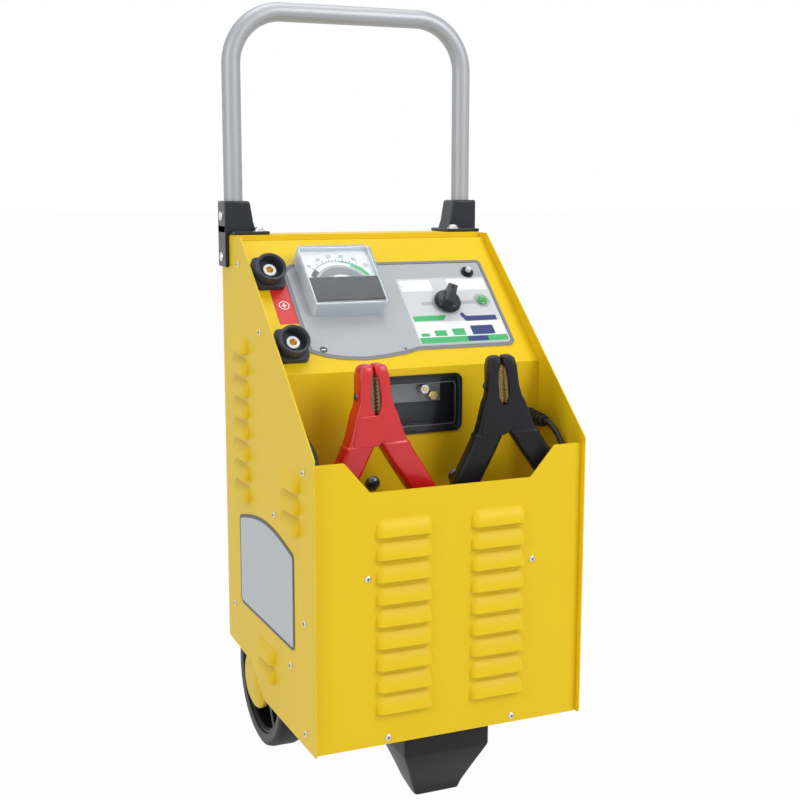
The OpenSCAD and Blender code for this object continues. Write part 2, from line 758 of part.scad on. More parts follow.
// A rubber gland with a ribbed boot; Z runs out of the wall
module gland() {
    r = (lead_d + 0.8) / 2;
    rotate_extrude() polygon([[r, -6], [10, -6], [10, -sheet - 0.1], [gland_d / 2, -sheet - 0.1],
        [gland_d / 2, 0.1], [11, 0.1], [11, 4], [10, 5], [10, 12], [8, 12], [8, 15], [9.6, 15],
        [9.6, 20], [7.8, 20], [7.8, 23], [9, 23], [9, 28], [7.4, 28], [7.4, 31], [8.4, 31], [8.4, 36],
        [7, 36], [6.6, boot_l], [r, boot_l]]);
}

module left_gland() { color(black) in_body() on_wall(-gland_x, gland_z) gland(); }

module right_gland() { color(black) in_body() on_wall(gland_x, gland_z) gland(); }

module mains_gland() {
    r = inlet_d / 2 - 0.2;
    color(black) in_body() translate([0, back_y, inlet_z]) rotate([-90, 0, 0]) rotate_extrude()
        polygon([[0, -9], [12, -9], [12, -sheet - 0.1], [r, -sheet - 0.1], [r, 0.1], [13, 0.1], [13, 4],
            [9, 8], [8, 16], [5, 16], [5, 4], [0, 4]]);
}

module wall_bolts() {
    color(black) in_body() both_sides() on_wall(bolt_x, bolt_z) rotate_extrude() polygon([[0, -16], [4, -16],
        [4, 0.1], [9.5, 0.1], [9.5, 1.5], [7.5, 4], [4, 5.6], [0, 6]]);
}

// ---------- Electrics inside the body ----------
core_y = riser_y - 64;
core_w = 130;
core_d = 76;
core_h = 112;
core_z = 3.1;
window_w = 24;
window_h = 68;
limb_w = 40;

module transformer_core() {
    mid = core_z + core_h / 2;
    color("#55585c") in_body() along_y(core_y - core_d / 2, core_d) difference() {
        translate([-core_w / 2, core_z]) square([core_w, core_h]);
        both_sides() translate([limb_w / 2 + window_w / 2, mid]) square([window_w, window_h], center = true);
    }
}

module transformer_windings() {
    mid = core_z + core_h / 2;
    color("#b87333") in_body() translate([0, core_y, mid - window_h / 2 + 1])
        linear_extrude(window_h - 2) difference() {
            rounded(limb_w + 2 * window_w - 2, core_d + 38, 8);
            square([limb_w + 1, core_d + 1], center = true);
        }
}

module rectifier() {
    sink_y = 212;
    color("#c3c7ca") in_body() {
        box([-60, 60], [sink_y, sink_y + 90], [shelf_h + 0.1, shelf_h + 5]);
        for (x = [-60:15:60]) box([x - 1, x + 1], [sink_y, sink_y + 90], [shelf_h + 4, shelf_h + 44]);
    }
}

// ---------- Charging leads ----------
tube_sides = 8;
lead_steps = 40;

// Middle line of each lead, gland to coil, in the body's frame
left_route = [[-165, 120, 370], [-165, 66, 370], [-163, 55, 366], [-161, 42, 354], [-162, 31, 340],
    [-163.5, 20, 325], [-162.5, 14, 313], [-156, 12.4, 301.5], [-145, 12.3, 293.6], [-131, 12.3, 291.1],
    [-112, 12.3, 291.1]];
right_route = [[165, 120, 370], [165, 66, 370], [166.5, 56, 367], [168, 45, 360], [168.5, 32, 348],
    [169.3, 20, 337], [169.5, 11, 325.5], [167.5, 7, 312], [160.5, 5.8, 300], [149, 5.8, 292.8],
    [136, 5.8, 291.1], [118, 5.8, 291.1]];

function curve(p, t) =
    let (n = len(p) - 1, i = min(floor(t), n - 1), u = t - i)
    let (a = p[max(i - 1, 0)], b = p[i], c = p[i + 1], d = p[min(i + 2, n)])
    0.5 * (2 * b + (c - a) * u + (2 * a - 5 * b + 4 * c - d) * u * u + (3 * b - a - 3 * c + d) * u * u * u);

function unit(v) = v / norm(v);

function side_of(prev, d) = unit(prev - (prev * d) * d);

function sides_along(dirs, i, prev) = i >= len(dirs) ? [] :
    let (s = side_of(prev, dirs[i])) concat([s], sides_along(dirs, i + 1, s));

module lead(route, steps) {
    n = len(route) - 1;
    pts = [for (i = [0:steps]) curve(route, i * n / steps)];
    dirs = [for (i = [0:steps]) unit(pts[min(i + 1, steps)] - pts[max(i - 1, 0)])];
    sides = sides_along(dirs, 0, [1, 0.01, 0]);
    r = lead_d / 2;
    rings = [for (i = [0:steps]) for (j = [0:tube_sides - 1]) let (a = j * 360 / tube_sides, u = sides[i],
        v = cross(dirs[i], u)) pts[i] + r * (cos(a) * u + sin(a) * v)];
    m = tube_sides;
    faces = concat([[for (j = [0:m - 1]) j]], [[for (j = [0:m - 1]) steps * m + m - 1 - j]],
        [for (i = [0:steps - 1]) for (j = [0:m - 1]) [i * m + j, (i + 1) * m + j, (i + 1) * m + (j + 1) % m,
            i * m + (j + 1) % m]]);
    polyhedron(rings, faces, convexity = 6);
}

coil_l = 160;
coil_w = 2 * 2 * lead_d + 41;
coil_t = coil_layers * lead_d;
// Middle of each coil: X and Y
left_coil_at = [-80, 44];
right_coil_at = [94, 37.5];

// Each lead's spare length, coiled on the bin's floor
module coil(at) {
    r = coil_w / 2;
    ring = 2 * lead_d;
    translate([at[0], at[1], bin_floor_h + 0.1]) linear_extrude(coil_t - 0.1) difference() {
        rounded(coil_l, coil_w, r - 0.05);
        rounded(coil_l - 2 * ring, coil_w - 2 * ring, r - ring - 0.05);
    }
}

module left_lead() { color(black) in_body() lead(left_route, lead_steps); }

module right_lead() { color(black) in_body() lead(right_route, lead_steps); }

module left_lead_coil() { color(black) in_body() coil(left_coil_at); }

module right_lead_coil() { color(black) in_body() coil(right_coil_at); }

// ---------- Clamps ----------
// Local frame: origin at the pin, X across the jaws, Z up to the tips, Y along the pin
ear_r = 10;
ear_t = 4;
ear_gap = 0.3;
jaw_half = 22;
slot_half = 6;
open_angle = 30;
foot_z = jaw_l + 2;
clamp_rest = bin_floor_h + coil_layers * lead_d + 0.2;
red_pin_at = [-83, 45, clamp_rest + 89.4];
black_pin_at = [93, 45, clamp_rest + 91.1];

module red_place() { in_body() translate(red_pin_at) rotate([0, -3, 0]) children(); }

module black_place() {
    in_body() translate(black_pin_at) rotate([0, 0, -15]) rotate([0, -4.7, 0]) children();
}

// Flat outline of one lever, on the +X side: jaw above the pin, handle below
module lever_outline() {
    t = tan(grip_angle);
    g = 12;
    z0 = -13;
    offset(3) offset(-3) polygon([[0.3, jaw_l], [jaw_half - 9, jaw_l], [jaw_half, jaw_l - 9], [jaw_half, 46],
        [27, 24], [35, -4], [51, -33], [g + foot_z * t + 16.5, -foot_z + 14], [g + foot_z * t + 7, -foot_z],
        [g + foot_z * t - 8, -foot_z + 4], [g + foot_z * t - 21, -foot_z + 20], [4.3, z0], [5, 10],
        [slot_half, 24], [slot_half, jaw_l - 11], [0.3, jaw_l - 8]]);
}

// A lever: ears from y0 outward hold the pin, the rest is cut clear of the other lever's ears
module lever(y0) {
    w = clamp_w / 2;
    difference() {
        union() {
            difference() {
                along_y(-w, 2 * w) lever_outline();
                rotate([-90, 0, 0]) translate([0, 0, -50]) cylinder(r = ear_r + 3, h = 100);
            }
            for (y = [y0, -y0 - ear_t]) along_y(y, ear_t) {
                circle(ear_r);
                polygon([[0, -ear_r], [17, -ear_r + 1], [17, ear_r - 1], [0, ear_r]]);
            }
        }
        rotate([-90, 0, 0]) translate([0, 0, -50]) cylinder(d = pin_d + 2 * running, h = 100);
    }
}

outer_ear = clamp_w / 2 - ear_t;
inner_ear = outer_ear - ear_gap - ear_t;

module fixed_lever() { mirror([1, 0, 0]) lever(outer_ear); }

module moving_lever() { lever(inner_ear); }

// A toothed contact strip along one jaw's inner face
module contact() {
    top = jaw_l - 12;
    teeth = 10;
    p = (top - 26) / teeth;
    along_y(-clamp_w / 2 + 4, clamp_w - 8) polygon(concat([[slot_half - 0.1, 25], [slot_half - 0.1, top]],
        [for (i = [teeth:-1:1]) each [[1, 26 + p * i], [3, 26 + p * (i - 0.5)]]], [[1, 26]]));
}

module pin() {
    rotate([90, 0, 0]) translate([0, 0, -clamp_w / 2 - 2.1]) {
        cylinder(d = pin_d, h = clamp_w + 4.2);
        cylinder(d = pin_d + 4, h = 2);
        translate([0, 0, clamp_w + 2.2]) cylinder(d = pin_d + 4, h = 2);
    }
}

module spring() {
    wire = 2;
    r = pin_d / 2 + fit + wire / 2;
    for (k = [-1:1]) rotate([90, 0, 0]) translate([0, 0, k * (wire + 0.05)])
        rotate_extrude() translate([r, 0]) circle(d = wire, $fn = 16);
    rotate([90, 0, 0]) translate([0, 0, -wire - 1]) difference() {
        cylinder(r = r + 0.2, h = 2 * wire + 2);
        translate([0, 0, -1]) cylinder(r = r - 0.2, h = 2 * wire + 4);
    }
}

module red_fixed_lever() { color(red) red_place() fixed_lever(); }

module red_moving_lever() { color(red) red_place() moving_lever(); }

module black_fixed_lever() { color(black) black_place() fixed_lever(); }

module black_moving_lever() { color(black) black_place() moving_lever(); }

module red_moving_contact() { color(copper) red_place() contact(); }

module black_moving_contact() { color(copper) black_place() contact(); }

module fixed_contacts() {
    color(copper) {
        red_place() mirror([1, 0, 0]) contact();
        black_place() mirror([1, 0, 0]) contact();
    }
}

module clamp_pins() {
    color(steel) {
        red_place() pin();
        black_place() pin();
    }
}

module clamp_springs() {
    color(steel) {
        red_place() spring();
        black_place() spring();
    }
}

left_side_panel();
right_side_panel();
front_panel();
control_panel();
bin_floor();
back_panel();
base_tray();
axle_hangers();
panel_screws();
handle_tube();
left_handle_bracket();
right_handle_bracket();
handle_screws();
axle();
left_rim();
left_tyre();
left_hub_cap();
right_rim();
right_tyre();
right_hub_cap();
front_foot();
foot_bolts();
meter_case();
meter_dial();
meter_needle();
meter_window();
meter_mask();
fascia_plate();
selector_knob();
selector_switch();
breaker_button();
breaker_body();
pilot_lamp();
upper_socket();
lower_socket();
socket_contacts();
fuse_frame();
fuse_cover();
fuse_strip();
fuse_studs();
left_gland();
right_gland();
mains_gland();
wall_bolts();
transformer_core();
transformer_windings();
rectifier();
left_lead();
left_lead_coil();
right_lead();
right_lead_coil();
red_fixed_lever();
red_moving_lever();
red_moving_contact();
black_fixed_lever();
black_moving_lever();
black_moving_contact();
fixed_contacts();
clamp_pins();
clamp_springs();
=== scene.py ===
"""Looks for the wheeled workshop battery charger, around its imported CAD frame.

Blender works in metres, +Z up, with the front towards -Y; the sizes below are in millimetres.
"""
import math
import bpy
import bmesh
from mathutils import Matrix, Vector


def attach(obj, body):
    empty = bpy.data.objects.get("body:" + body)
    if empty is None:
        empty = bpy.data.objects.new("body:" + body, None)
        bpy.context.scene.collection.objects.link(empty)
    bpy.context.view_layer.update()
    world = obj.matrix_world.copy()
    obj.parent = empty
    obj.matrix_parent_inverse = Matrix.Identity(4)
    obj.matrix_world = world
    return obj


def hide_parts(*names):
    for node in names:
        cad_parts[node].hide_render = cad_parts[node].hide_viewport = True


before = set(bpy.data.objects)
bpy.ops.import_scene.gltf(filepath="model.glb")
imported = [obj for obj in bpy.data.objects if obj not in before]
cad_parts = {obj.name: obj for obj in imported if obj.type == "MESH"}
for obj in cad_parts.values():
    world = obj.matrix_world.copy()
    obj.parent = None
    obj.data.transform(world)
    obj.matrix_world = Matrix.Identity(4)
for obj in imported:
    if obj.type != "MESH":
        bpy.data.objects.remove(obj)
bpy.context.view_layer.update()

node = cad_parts
MM = 0.001

# ---------- Places on the frame, in millimetres of the body's own frame ----------
FACE_Y = -179.5            # front panel's outer face
LIFT = 94                  # bottom edge of the panels
HALF_W = 180               # outer face of a side panel
CREASE = (112, 442.7)      # fold below the control panel: Y, Z
PANEL_ANGLE = 43.3
PLATE_H = 1.1              # top of the fascia plate above the control panel


def at(x, y, z):
    """A point of the body's frame, in metres of the row frame."""
    return Vector((x, y + FACE_Y, z + LIFT)) * MM


def moved(x, y, z, *turns):
    """A local frame at a point of the body's frame, after turns of (degrees, axis)."""
    m = Matrix.Translation(at(x, y, z))
    for angle, axis in turns:
        m = m @ Matrix.Rotation(math.radians(angle), 4, axis)
    return m


def on(matrix, x, y, z=0):
    """A local frame moved by millimetres along its own axes."""
    return matrix @ Matrix.Translation(Vector((x, y, z)) * MM)


def turned(matrix, angle, axis):
    """A local frame turned by degrees about its own axis."""
    return matrix @ Matrix.Rotation(math.radians(angle), 4, axis)


BODY = moved(0, 0, 0)
FRONT = moved(0, 0, 0, (90, "X"))                      # Y up the front panel, Z out of it
LEFT = moved(-HALF_W, 0, 0, (-90, "Z"), (90, "X"))     # X towards the front, Y up, Z out of the left side
WALL = moved(0, CREASE[0], 0, (90, "X"))               # Y up the bin's rear wall, Z out of it
PANEL = moved(0, *CREASE, (PANEL_ANGLE, "X"))          # Y up the control panel's slope, Z out of it
RED_PIN = moved(-83, 45, 376.6, (-3, "Y"), (90, "X"))  # Y along a clamp's jaws, Z along its pin
BLACK_PIN = moved(93, 45, 378.3, (-15, "Z"), (-4.7, "Y"), (90, "X"))


# ---------- Materials ----------
COAT_ROUGHNESS = 0.08
GRAIN_DEPTH = 0.0002
MIX_FACTOR, MIX_A, MIX_B, MIX_RESULT = 0, 6, 7, 2      # sockets of a colour Mix node


def surface(name, color, rough=0.5, metal=0.0, coat=0.0, grain=0.0, grain_size=0.001, shade=0.0, patch=0.05,
            clear=0.0, ior=1.5, spec=0.5):
    """A painted, moulded or metal surface: noise shades its colour a little and raises a fine grain."""
    m = bpy.data.materials.new(name)
    m.use_nodes = True
    t = m.node_tree
    n, link = t.nodes, t.links
    p = n["Principled BSDF"]
    p.inputs["Base Color"].default_value = (*color, 1)
    p.inputs["Roughness"].default_value = rough
    p.inputs["Metallic"].default_value = metal
    p.inputs["Coat Weight"].default_value = coat
    p.inputs["Coat Roughness"].default_value = COAT_ROUGHNESS
    p.inputs["Transmission Weight"].default_value = clear
    p.inputs["IOR"].default_value = ior
    p.inputs["Specular IOR Level"].default_value = spec
    where = n.new("ShaderNodeTexCoord")
    if shade:
        noise = n.new("ShaderNodeTexNoise")
        noise.inputs["Scale"].default_value = 1 / patch
        noise.inputs["Detail"].default_value = 3
        mix = n.new("ShaderNodeMix")
        mix.data_type = "RGBA"
        mix.inputs[MIX_A].default_value = (*[c * (1 - shade) for c in color], 1)
        mix.inputs[MIX_B].default_value = (*[min(1, c * (1 + shade)) for c in color], 1)
        link.new(where.outputs["Object"], noise.inputs["Vector"])
        link.new(noise.outputs["Fac"], mix.inputs[MIX_FACTOR])
        link.new(mix.outputs[MIX_RESULT], p.inputs["Base Color"])
    if grain:
        fine = n.new("ShaderNodeTexNoise")
        fine.inputs["Scale"].default_value = 1 / grain_size
        bump = n.new("ShaderNodeBump")
        bump.inputs["Strength"].default_value = grain
        bump.inputs["Distance"].default_value = GRAIN_DEPTH
        link.new(where.outputs["Object"], fine.inputs["Vector"])
        link.new(fine.outputs["Fac"], bump.inputs["Height"])
        link.new(bump.outputs["Normal"], p.inputs["Normal"])
    return m


YELLOW = surface("yellow paint", (0.82, 0.56, 0.008), rough=0.42, coat=0.04, grain=0.1, grain_size=0.0025,
                 shade=0.02, spec=0.22)
BLACK = surface("black moulding", (0.007, 0.007, 0.009), rough=0.42, grain=0.25, grain_size=0.0012, shade=0.1,
                spec=0.28)
SATIN = surface("satin black", (0.011, 0.013, 0.017), rough=0.32, coat=0.08, grain=0.1, grain_size=0.002,
                shade=0.1, spec=0.32)
SOCKET = surface("socket plastic", (0.042, 0.046, 0.06), rough=0.38, grain=0.1, grain_size=0.002, shade=0.06,
                 spec=0.3)
PALE = surface("pale print", (0.6, 0.62, 0.62), rough=0.4, shade=0.01)
SLATE = surface("slate plastic", (0.022, 0.026, 0.036), rough=0.4, grain=0.1, grain_size=0.002, shade=0.06,
                spec=0.3)
RUBBER = surface("black rubber", (0.012, 0.012, 0.014), rough=0.5, grain=0.2, grain_size=0.0015, shade=0.15,
                 spec=0.35)
TYRE = surface("tyre rubber", (0.014, 0.014, 0.015), rough=0.6, grain=0.4, grain_size=0.002, shade=0.2,
               spec=0.3)
SIDEWALL = surface("tyre side wall", (0.085, 0.085, 0.085), rough=0.6, grain=0.2, grain_size=0.002, shade=0.1,
                   spec=0.35)
STEEL = surface("zinc-plated steel", (0.68, 0.69, 0.7), rough=0.2, metal=1.0, grain=0.05, grain_size=0.001,
                shade=0.05)
TUBE = surface("silver painted tube", (0.38, 0.39, 0.405), rough=0.45, metal=0.5, coat=0.08, grain=0.06,
               shade=0.02)
BRASS = surface("brass", (0.72, 0.52, 0.2), rough=0.25, metal=1.0, shade=0.1)
COPPER = surface("bronze jaw", (0.2, 0.13, 0.075), rough=0.36, metal=0.85, shade=0.2, patch=0.006)
DULL = surface("grey metal strip", (0.2, 0.21, 0.22), rough=0.4, metal=0.7, shade=0.1)
DARK_STEEL = surface("blackened steel", (0.09, 0.1, 0.12), rough=0.28, metal=0.8, shade=0.1)
RED = surface("red grip", (0.6, 0.008, 0.012), rough=0.32, coat=0.25, grain=0.1, grain_size=0.003, shade=0.05)
GREEN = surface("green lens", (0.08, 0.42, 0.12), rough=0.15, coat=0.6, shade=0.1)
CLEAR = surface("clear cover", (0.96, 0.98, 1.0), rough=0.02, clear=1.0, ior=1.2)
DIAL = surface("white dial", (0.74, 0.76, 0.76), rough=0.5, shade=0.01)
PLATE = surface("grey plate", (0.42, 0.44, 0.455), rough=0.32, shade=0.02, spec=0.35)
BADGE = surface("silver badge", (0.44, 0.46, 0.48), rough=0.3, metal=0.3, shade=0.02)
WHITE = surface("white print", (0.84, 0.85, 0.84), rough=0.4, shade=0.01)
INK = surface("dark print", (0.035, 0.038, 0.045), rough=0.4, shade=0.05)
GREY = surface("grey print", (0.19, 0.2, 0.21), rough=0.4, shade=0.02)
# painted highlight: an opaque bluish white standing for the light caught in the clear meter cover's walls and
# edges
METER_EDGE_HIGHLIGHT = surface("painted edge highlight", (0.62, 0.68, 0.74), rough=0.25, shade=0.02)
LEAF = surface("green print", (0.05, 0.42, 0.14), rough=0.4, shade=0.03)
BLUE = surface("blue print", (0.012, 0.03, 0.16), rough=0.4, shade=0.03)
SCARLET = surface("red print", (0.62, 0.01, 0.012), rough=0.4, shade=0.03)
CORE = surface("iron core", (0.2, 0.2, 0.21), rough=0.6, metal=0.6, shade=0.15)
WINDING = surface("copper winding", (0.45, 0.18, 0.08), rough=0.4, metal=0.7, shade=0.1)
ALLOY = surface("aluminium sink", (0.6, 0.6, 0.62), rough=0.4, metal=0.9, shade=0.05)
# painted shade: near black put where a recess or dimple holds shade
RECESS_SHADE = surface("painted recess shade", (0.01, 0.01, 0.01), rough=0.8, shade=0.1)

PAINT = {
    YELLOW: "left_side_panel right_side_panel front_panel control_panel bin_floor back_panel base_tray "
            "axle_hangers left_hub_cap right_hub_cap",
    STEEL: "panel_screws handle_screws axle foot_bolts clamp_pins clamp_springs",
    DULL: "fuse_strip",
    DARK_STEEL: "wall_bolts",
    TUBE: "handle_tube",
    SATIN: "left_handle_bracket right_handle_bracket selector_knob fuse_frame",
    SOCKET: "upper_socket lower_socket",
    SLATE: "meter_mask",
    BLACK: "left_rim right_rim front_foot meter_case meter_needle selector_switch breaker_body "
           "black_fixed_lever black_moving_lever",
    TYRE: "left_tyre right_tyre",
    CLEAR: "meter_window fuse_cover",
    DIAL: "meter_dial",
    PLATE: "fascia_plate",
    PALE: "breaker_button",
    GREEN: "pilot_lamp",
    BRASS: "socket_contacts fuse_studs",
    COPPER: "red_moving_contact black_moving_contact fixed_contacts",
    RED: "red_fixed_lever red_moving_lever",
    RUBBER: "left_gland right_gland mains_gland left_lead left_lead_coil right_lead right_lead_coil",
    CORE: "transformer_core",
    WINDING: "transformer_windings",
    ALLOY: "rectifier",
}
for material, names in PAINT.items():
    for name in names.split():
        node[name].data.materials.clear()
        node[name].data.materials.append(material)


def rounded_edges(o, width, segments, angle):
    """Bevels an object's sharp edges, as moulding or bending leaves them; the width is in mm."""
    b = o.modifiers.new("edge", "BEVEL")
    b.width = width * MM
    b.segments = segments
    b.limit_method = "ANGLE"
    b.angle_limit = math.radians(angle)


# ---------- Making pieces ----------
def piece(name, bm, material, matrix, body="charger", bevel=0.0, smooth=35):
    """A mesh object that rides on a body; smooth is the angle of its sharp edges, and 0 leaves it flat."""
    me = bpy.data.meshes.new(name)
    bmesh.ops.recalc_face_normals(bm, faces=bm.faces)
    bm.to_mesh(me)
    bm.free()
    o = bpy.data.objects.new(name, me)
    bpy.context.scene.collection.objects.link(o)
    o.matrix_world = matrix
    me.materials.append(material)
    if bevel:
        rounded_edges(o, bevel, 3, 40)
    if smooth:
        for f in me.polygons:
            f.use_smooth = True
        me.set_sharp_from_angle(angle=math.radians(smooth))
    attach(o, body)
    return o


STRAIGHT = 1.55            # half a corner's angle in radians from which it counts as straight
MOST_OF_EDGE = 0.49        # the share of an edge that a rounded corner may take
TINY = 1e-6


def rounded(points, radius, steps=5):
    """An outline with its corners rounded: each point may carry its own radius as a third number."""
    out = []
    n = len(points)
    for i, p in enumerate(points):
        r = p[2] if len(p) > 2 else radius
        a, b, c = Vector(points[i - 1][:2]), Vector(p[:2]), Vector(points[(i + 1) % n][:2])
        u, v = (a - b).normalized(), (c - b).normalized()
        half = u.angle(v) / 2
        if r <= 0 or half > STRAIGHT:
            out.append(b)
            continue
        d = min(r / math.tan(half), (a - b).length * MOST_OF_EDGE, (c - b).length * MOST_OF_EDGE)
        r = d * math.tan(half)
        centre = b + (u + v).normalized() * (r / math.sin(half))
        start, end = b + u * d - centre, b + v * d - centre
        turn = start.angle_signed(end)
        for k in range(steps + 1):
            t = -turn * k / steps
            out.append(centre + Vector((start.x * math.cos(t) - start.y * math.sin(t),
                                        start.x * math.sin(t) + start.y * math.cos(t))))
    return out


def inset(points, d):
    """The outline moved inward by d; it runs counter-clockwise."""
    out = []
    n = len(points)
    for i in range(n):
        a, b, c = Vector(points[i - 1]), Vector(points[i]), Vector(points[(i + 1) % n])
        if (b - a).length < TINY or (c - b).length < TINY:
            continue
        u, v = (b - a).normalized(), (c - b).normalized()
        nrm = Vector((-u.y - v.y, u.x + v.x))
        nrm.normalize()
        out.append(b + nrm * d / max(0.3, nrm.dot(Vector((-u.y, u.x)))))
    return out


def rectangle(x0, x1, y0, y1, r=0):
    return rounded([(x0, y0), (x1, y0), (x1, y1), (x0, y1)], r)


def square(half, r):
    return rectangle(-half, half, -half, half, r)


def circle(x, y, r, steps):
    turns = [2 * math.pi * k / steps for k in range(steps)]
    return [(x + r * math.cos(t), y + r * math.sin(t)) for t in turns]


def prism(outline, z0, z1):
    """An outline in mm, made solid from z0 to z1."""
    bm = bmesh.new()
    rings = [[bm.verts.new((p[0] * MM, p[1] * MM, z * MM)) for p in outline] for z in (z0, z1)]
    n = len(outline)
    for i in range(n):
        bm.faces.new((rings[0][i], rings[0][(i + 1) % n], rings[1][(i + 1) % n], rings[1][i]))
    bm.faces.new(rings[0][::-1])
    bm.faces.new(rings[1])
    return bm


def ring_prism(outer, inner, z0, z1):
    """The band between two outlines with the same number of points."""
    bm = bmesh.new()
    n = len(outer)
    v = [[bm.verts.new((p[0] * MM, p[1] * MM, z * MM)) for p in line]
         for z in (z0, z1) for line in (outer, inner)]
    for i in range(n):
        j = (i + 1) % n
        bm.faces.new((v[0][i], v[0][j], v[2][j], v[2][i]))
        bm.faces.new((v[1][j], v[1][i], v[3][i], v[3][j]))
        bm.faces.new((v[2][i], v[2][j], v[3][j], v[3][i]))
        bm.faces.new((v[0][j], v[0][i], v[1][i], v[1][j]))
    return bm


def sector(r0, r1, a0, a1, z0, z1, steps=24):
    """Part of a flat ring, in degrees from the Y axis, positive to the right."""
    line = [math.radians(a0 + (a1 - a0) * k / steps) for k in range(steps + 1)]
    outline = [(r1 * math.sin(a), r1 * math.cos(a)) for a in line]
    outline += [(r0 * math.sin(a), r0 * math.cos(a)) for a in reversed(line)]
    return prism(outline, z0, z1)


def lathe(profile, steps=48):
    """A profile of (radius, height) turned about Z; its ends on the axis are closed."""
    bm = bmesh.new()
    rings = []
    for r, z in profile:
        if r <= 0:
            rings.append([bm.verts.new((0, 0, z * MM))])
        else:
            rings.append([bm.verts.new((r * MM * math.cos(a), r * MM * math.sin(a), z * MM))
                          for a in (2 * math.pi * k / steps for k in range(steps))])
    for a, b in zip(rings, rings[1:]):
        for k in range(steps):
            j = (k + 1) % steps
            if len(a) == 1:
                bm.faces.new((a[0], b[k], b[j]))
            elif len(b) == 1:
                bm.faces.new((a[k], b[0], a[j]))
            else:
                bm.faces.new((a[k], b[k], b[j], a[j]))
    return bm


def block(x0, x1, y0, y1, z0, z1):
    return prism([(x0, y0), (x1, y0), (x1, y1), (x0, y1)], z0, z1)


def loft(sections):
    """Closed rings of points, joined in order and closed at both ends."""
    bm = bmesh.new()
    rings = [[bm.verts.new(Vector(p) * MM) for p in s] for s in sections]
    n = len(rings[0])
    for a, b in zip(rings, rings[1:]):
        for i in range(n):
            bm.faces.new((a[i], a[(i + 1) % n], b[(i + 1) % n], b[i]))
    bm.faces.new(rings[0][::-1])
    bm.faces.new(rings[-1])
    return bm


def cable(name, points, radius, material):
    """A round cable along points in metres; the radius is in mm."""
    c = bpy.data.curves.new(name, "CURVE")
    c.dimensions = "3D"
    c.bevel_depth = radius * MM
    c.bevel_resolution = 5
    c.use_fill_caps = True
    s = c.splines.new("POLY")
    s.points.add(len(points) - 1)
    for q, p in zip(s.points, points):
        q.co = (*p, 1)
    o = bpy.data.objects.new(name, c)
    bpy.context.scene.collection.objects.link(o)
    c.materials.append(material)
    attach(o, "charger")
    return o


def curve_through(points, step):
    """A smooth line through points in mm, with a point about every step mm."""
    out = []
    n = len(points) - 1
    for i in range(n):
        a, b = Vector(points[max(i - 1, 0)]), Vector(points[i])
        c, d = Vector(points[i + 1]), Vector(points[min(i + 2, n)])
        k = max(1, round((c - b).length / step))
        for j in range(k):
            u = j / k
            out.append(0.5 * (2 * b + (c - a) * u + (2 * a - 5 * b + 4 * c - d) * u * u
                              + (3 * b - a - 3 * c + d) * u ** 3))
    out.append(Vector(points[-1]))
    return out


# ---------- Charging leads: gland, coil on the bin's floor, clamp ----------
LEAD_R = 3.75
LEAD_STEP = 3.0            # spacing of the points along a lead
BIN_FLOOR = 264.5
HALF_COIL = 44.5           # half the length of the coil's straight sides
OUTER_R, INNER_R = 31.65, 24.05
LEVELS = [BIN_FLOOR + z for z in (3.8, 11.4, 19.0)]
STRAIGHT_STEPS, BEND_STEPS = 9, 12
COIL_TOP = BIN_FLOOR + 22.8
ENTRY_Z = 291.1            # where a lead comes down into its coil
LEVER_TAIL = ((-52, -72), (-44, -57))                  # a lead's end inside the fixed lever, from the pin
TIES_AT = (-14, 24)        # along the coil
TIE_HALF_W = 3
LEFT_COIL, RIGHT_COIL = (-80, 44), (94, 37.5)          # middles of the coils: X, Y
LEFT_ROUTE = [(-165, 120, 370), (-165, 66, 370), (-163, 55, 366), (-161, 42, 354), (-162, 31, 340),
              (-163.5, 20, 325), (-162.5, 14, 313), (-156, 12.4, 301.5), (-145, 12.3, 293.6),
              (-131, 12.3, ENTRY_Z)]
RIGHT_ROUTE = [(165, 120, 370), (165, 66, 370), (166.5, 56, 367), (168, 45, 360), (168.5, 32, 348),
               (169.3, 20, 337), (169.5, 11, 325.5), (167.5, 7, 312), (160.5, 5.8, 300), (149, 5.8, 292.8),
               (136, 5.8, ENTRY_Z)]
LEFT_LEAVING = [(-112, 67.6, 284.6), (-127, 67.5, 285.8), (-139.5, 62.5, 287.8), (-146, 53.5, 292.5)]
RIGHT_LEAVING = [(49.5, 13.5, 283.6), (32.5, 20.5, 283.8), (25.8, 37, 284.6), (30.5, 50.5, 288),
                 (39.5, 57, 294)]


def coil_path(start, mirror):
    """Three turns down the outside and two or two and a half up the inside, round the coil's own middle."""
    out = []

    def straight(side, x0, x1, r0, z0, r1, z1):
        for k in range(STRAIGHT_STEPS):
            t = k / STRAIGHT_STEPS
            e = t * t * (3 - 2 * t)
            out.append((side * (x0 + (x1 - x0) * t), side * -(r0 + (r1 - r0) * e), z0 + (z1 - z0) * e))

    def bend(side, r, z):
        for k in range(BEND_STEPS):
            a = math.pi * k / BEND_STEPS
            out.append((side * (HALF_COIL + r * math.sin(a)), -side * r * math.cos(a), z))

    low, mid, top = LEVELS
    x = start
    for z0, z1 in ((ENTRY_Z, top), (top, mid), (mid, low)):
        straight(1, x, HALF_COIL, OUTER_R, z0, OUTER_R, z1)
        bend(1, OUTER_R, z1)
        straight(-1, -HALF_COIL, HALF_COIL, OUTER_R, z1, OUTER_R, z1)
        bend(-1, OUTER_R, z1)
        x = -HALF_COIL
    straight(1, -HALF_COIL, HALF_COIL, OUTER_R, low, INNER_R, low)
    for z0, z1 in ((low, mid), (mid, top)):
        bend(1, INNER_R, z0)
        straight(-1, -HALF_COIL, HALF_COIL, INNER_R, z0, INNER_R, z1)
        bend(-1, INNER_R, z1)
        straight(1, -HALF_COIL, HALF_COIL, INNER_R, z1, INNER_R, z1)
    if not mirror:
        bend(1, INNER_R, top)
        straight(-1, -HALF_COIL, HALF_COIL * 0.6, INNER_R, top, INNER_R, top)
    return [(-x if mirror else x, y, z) for x, y, z in out]


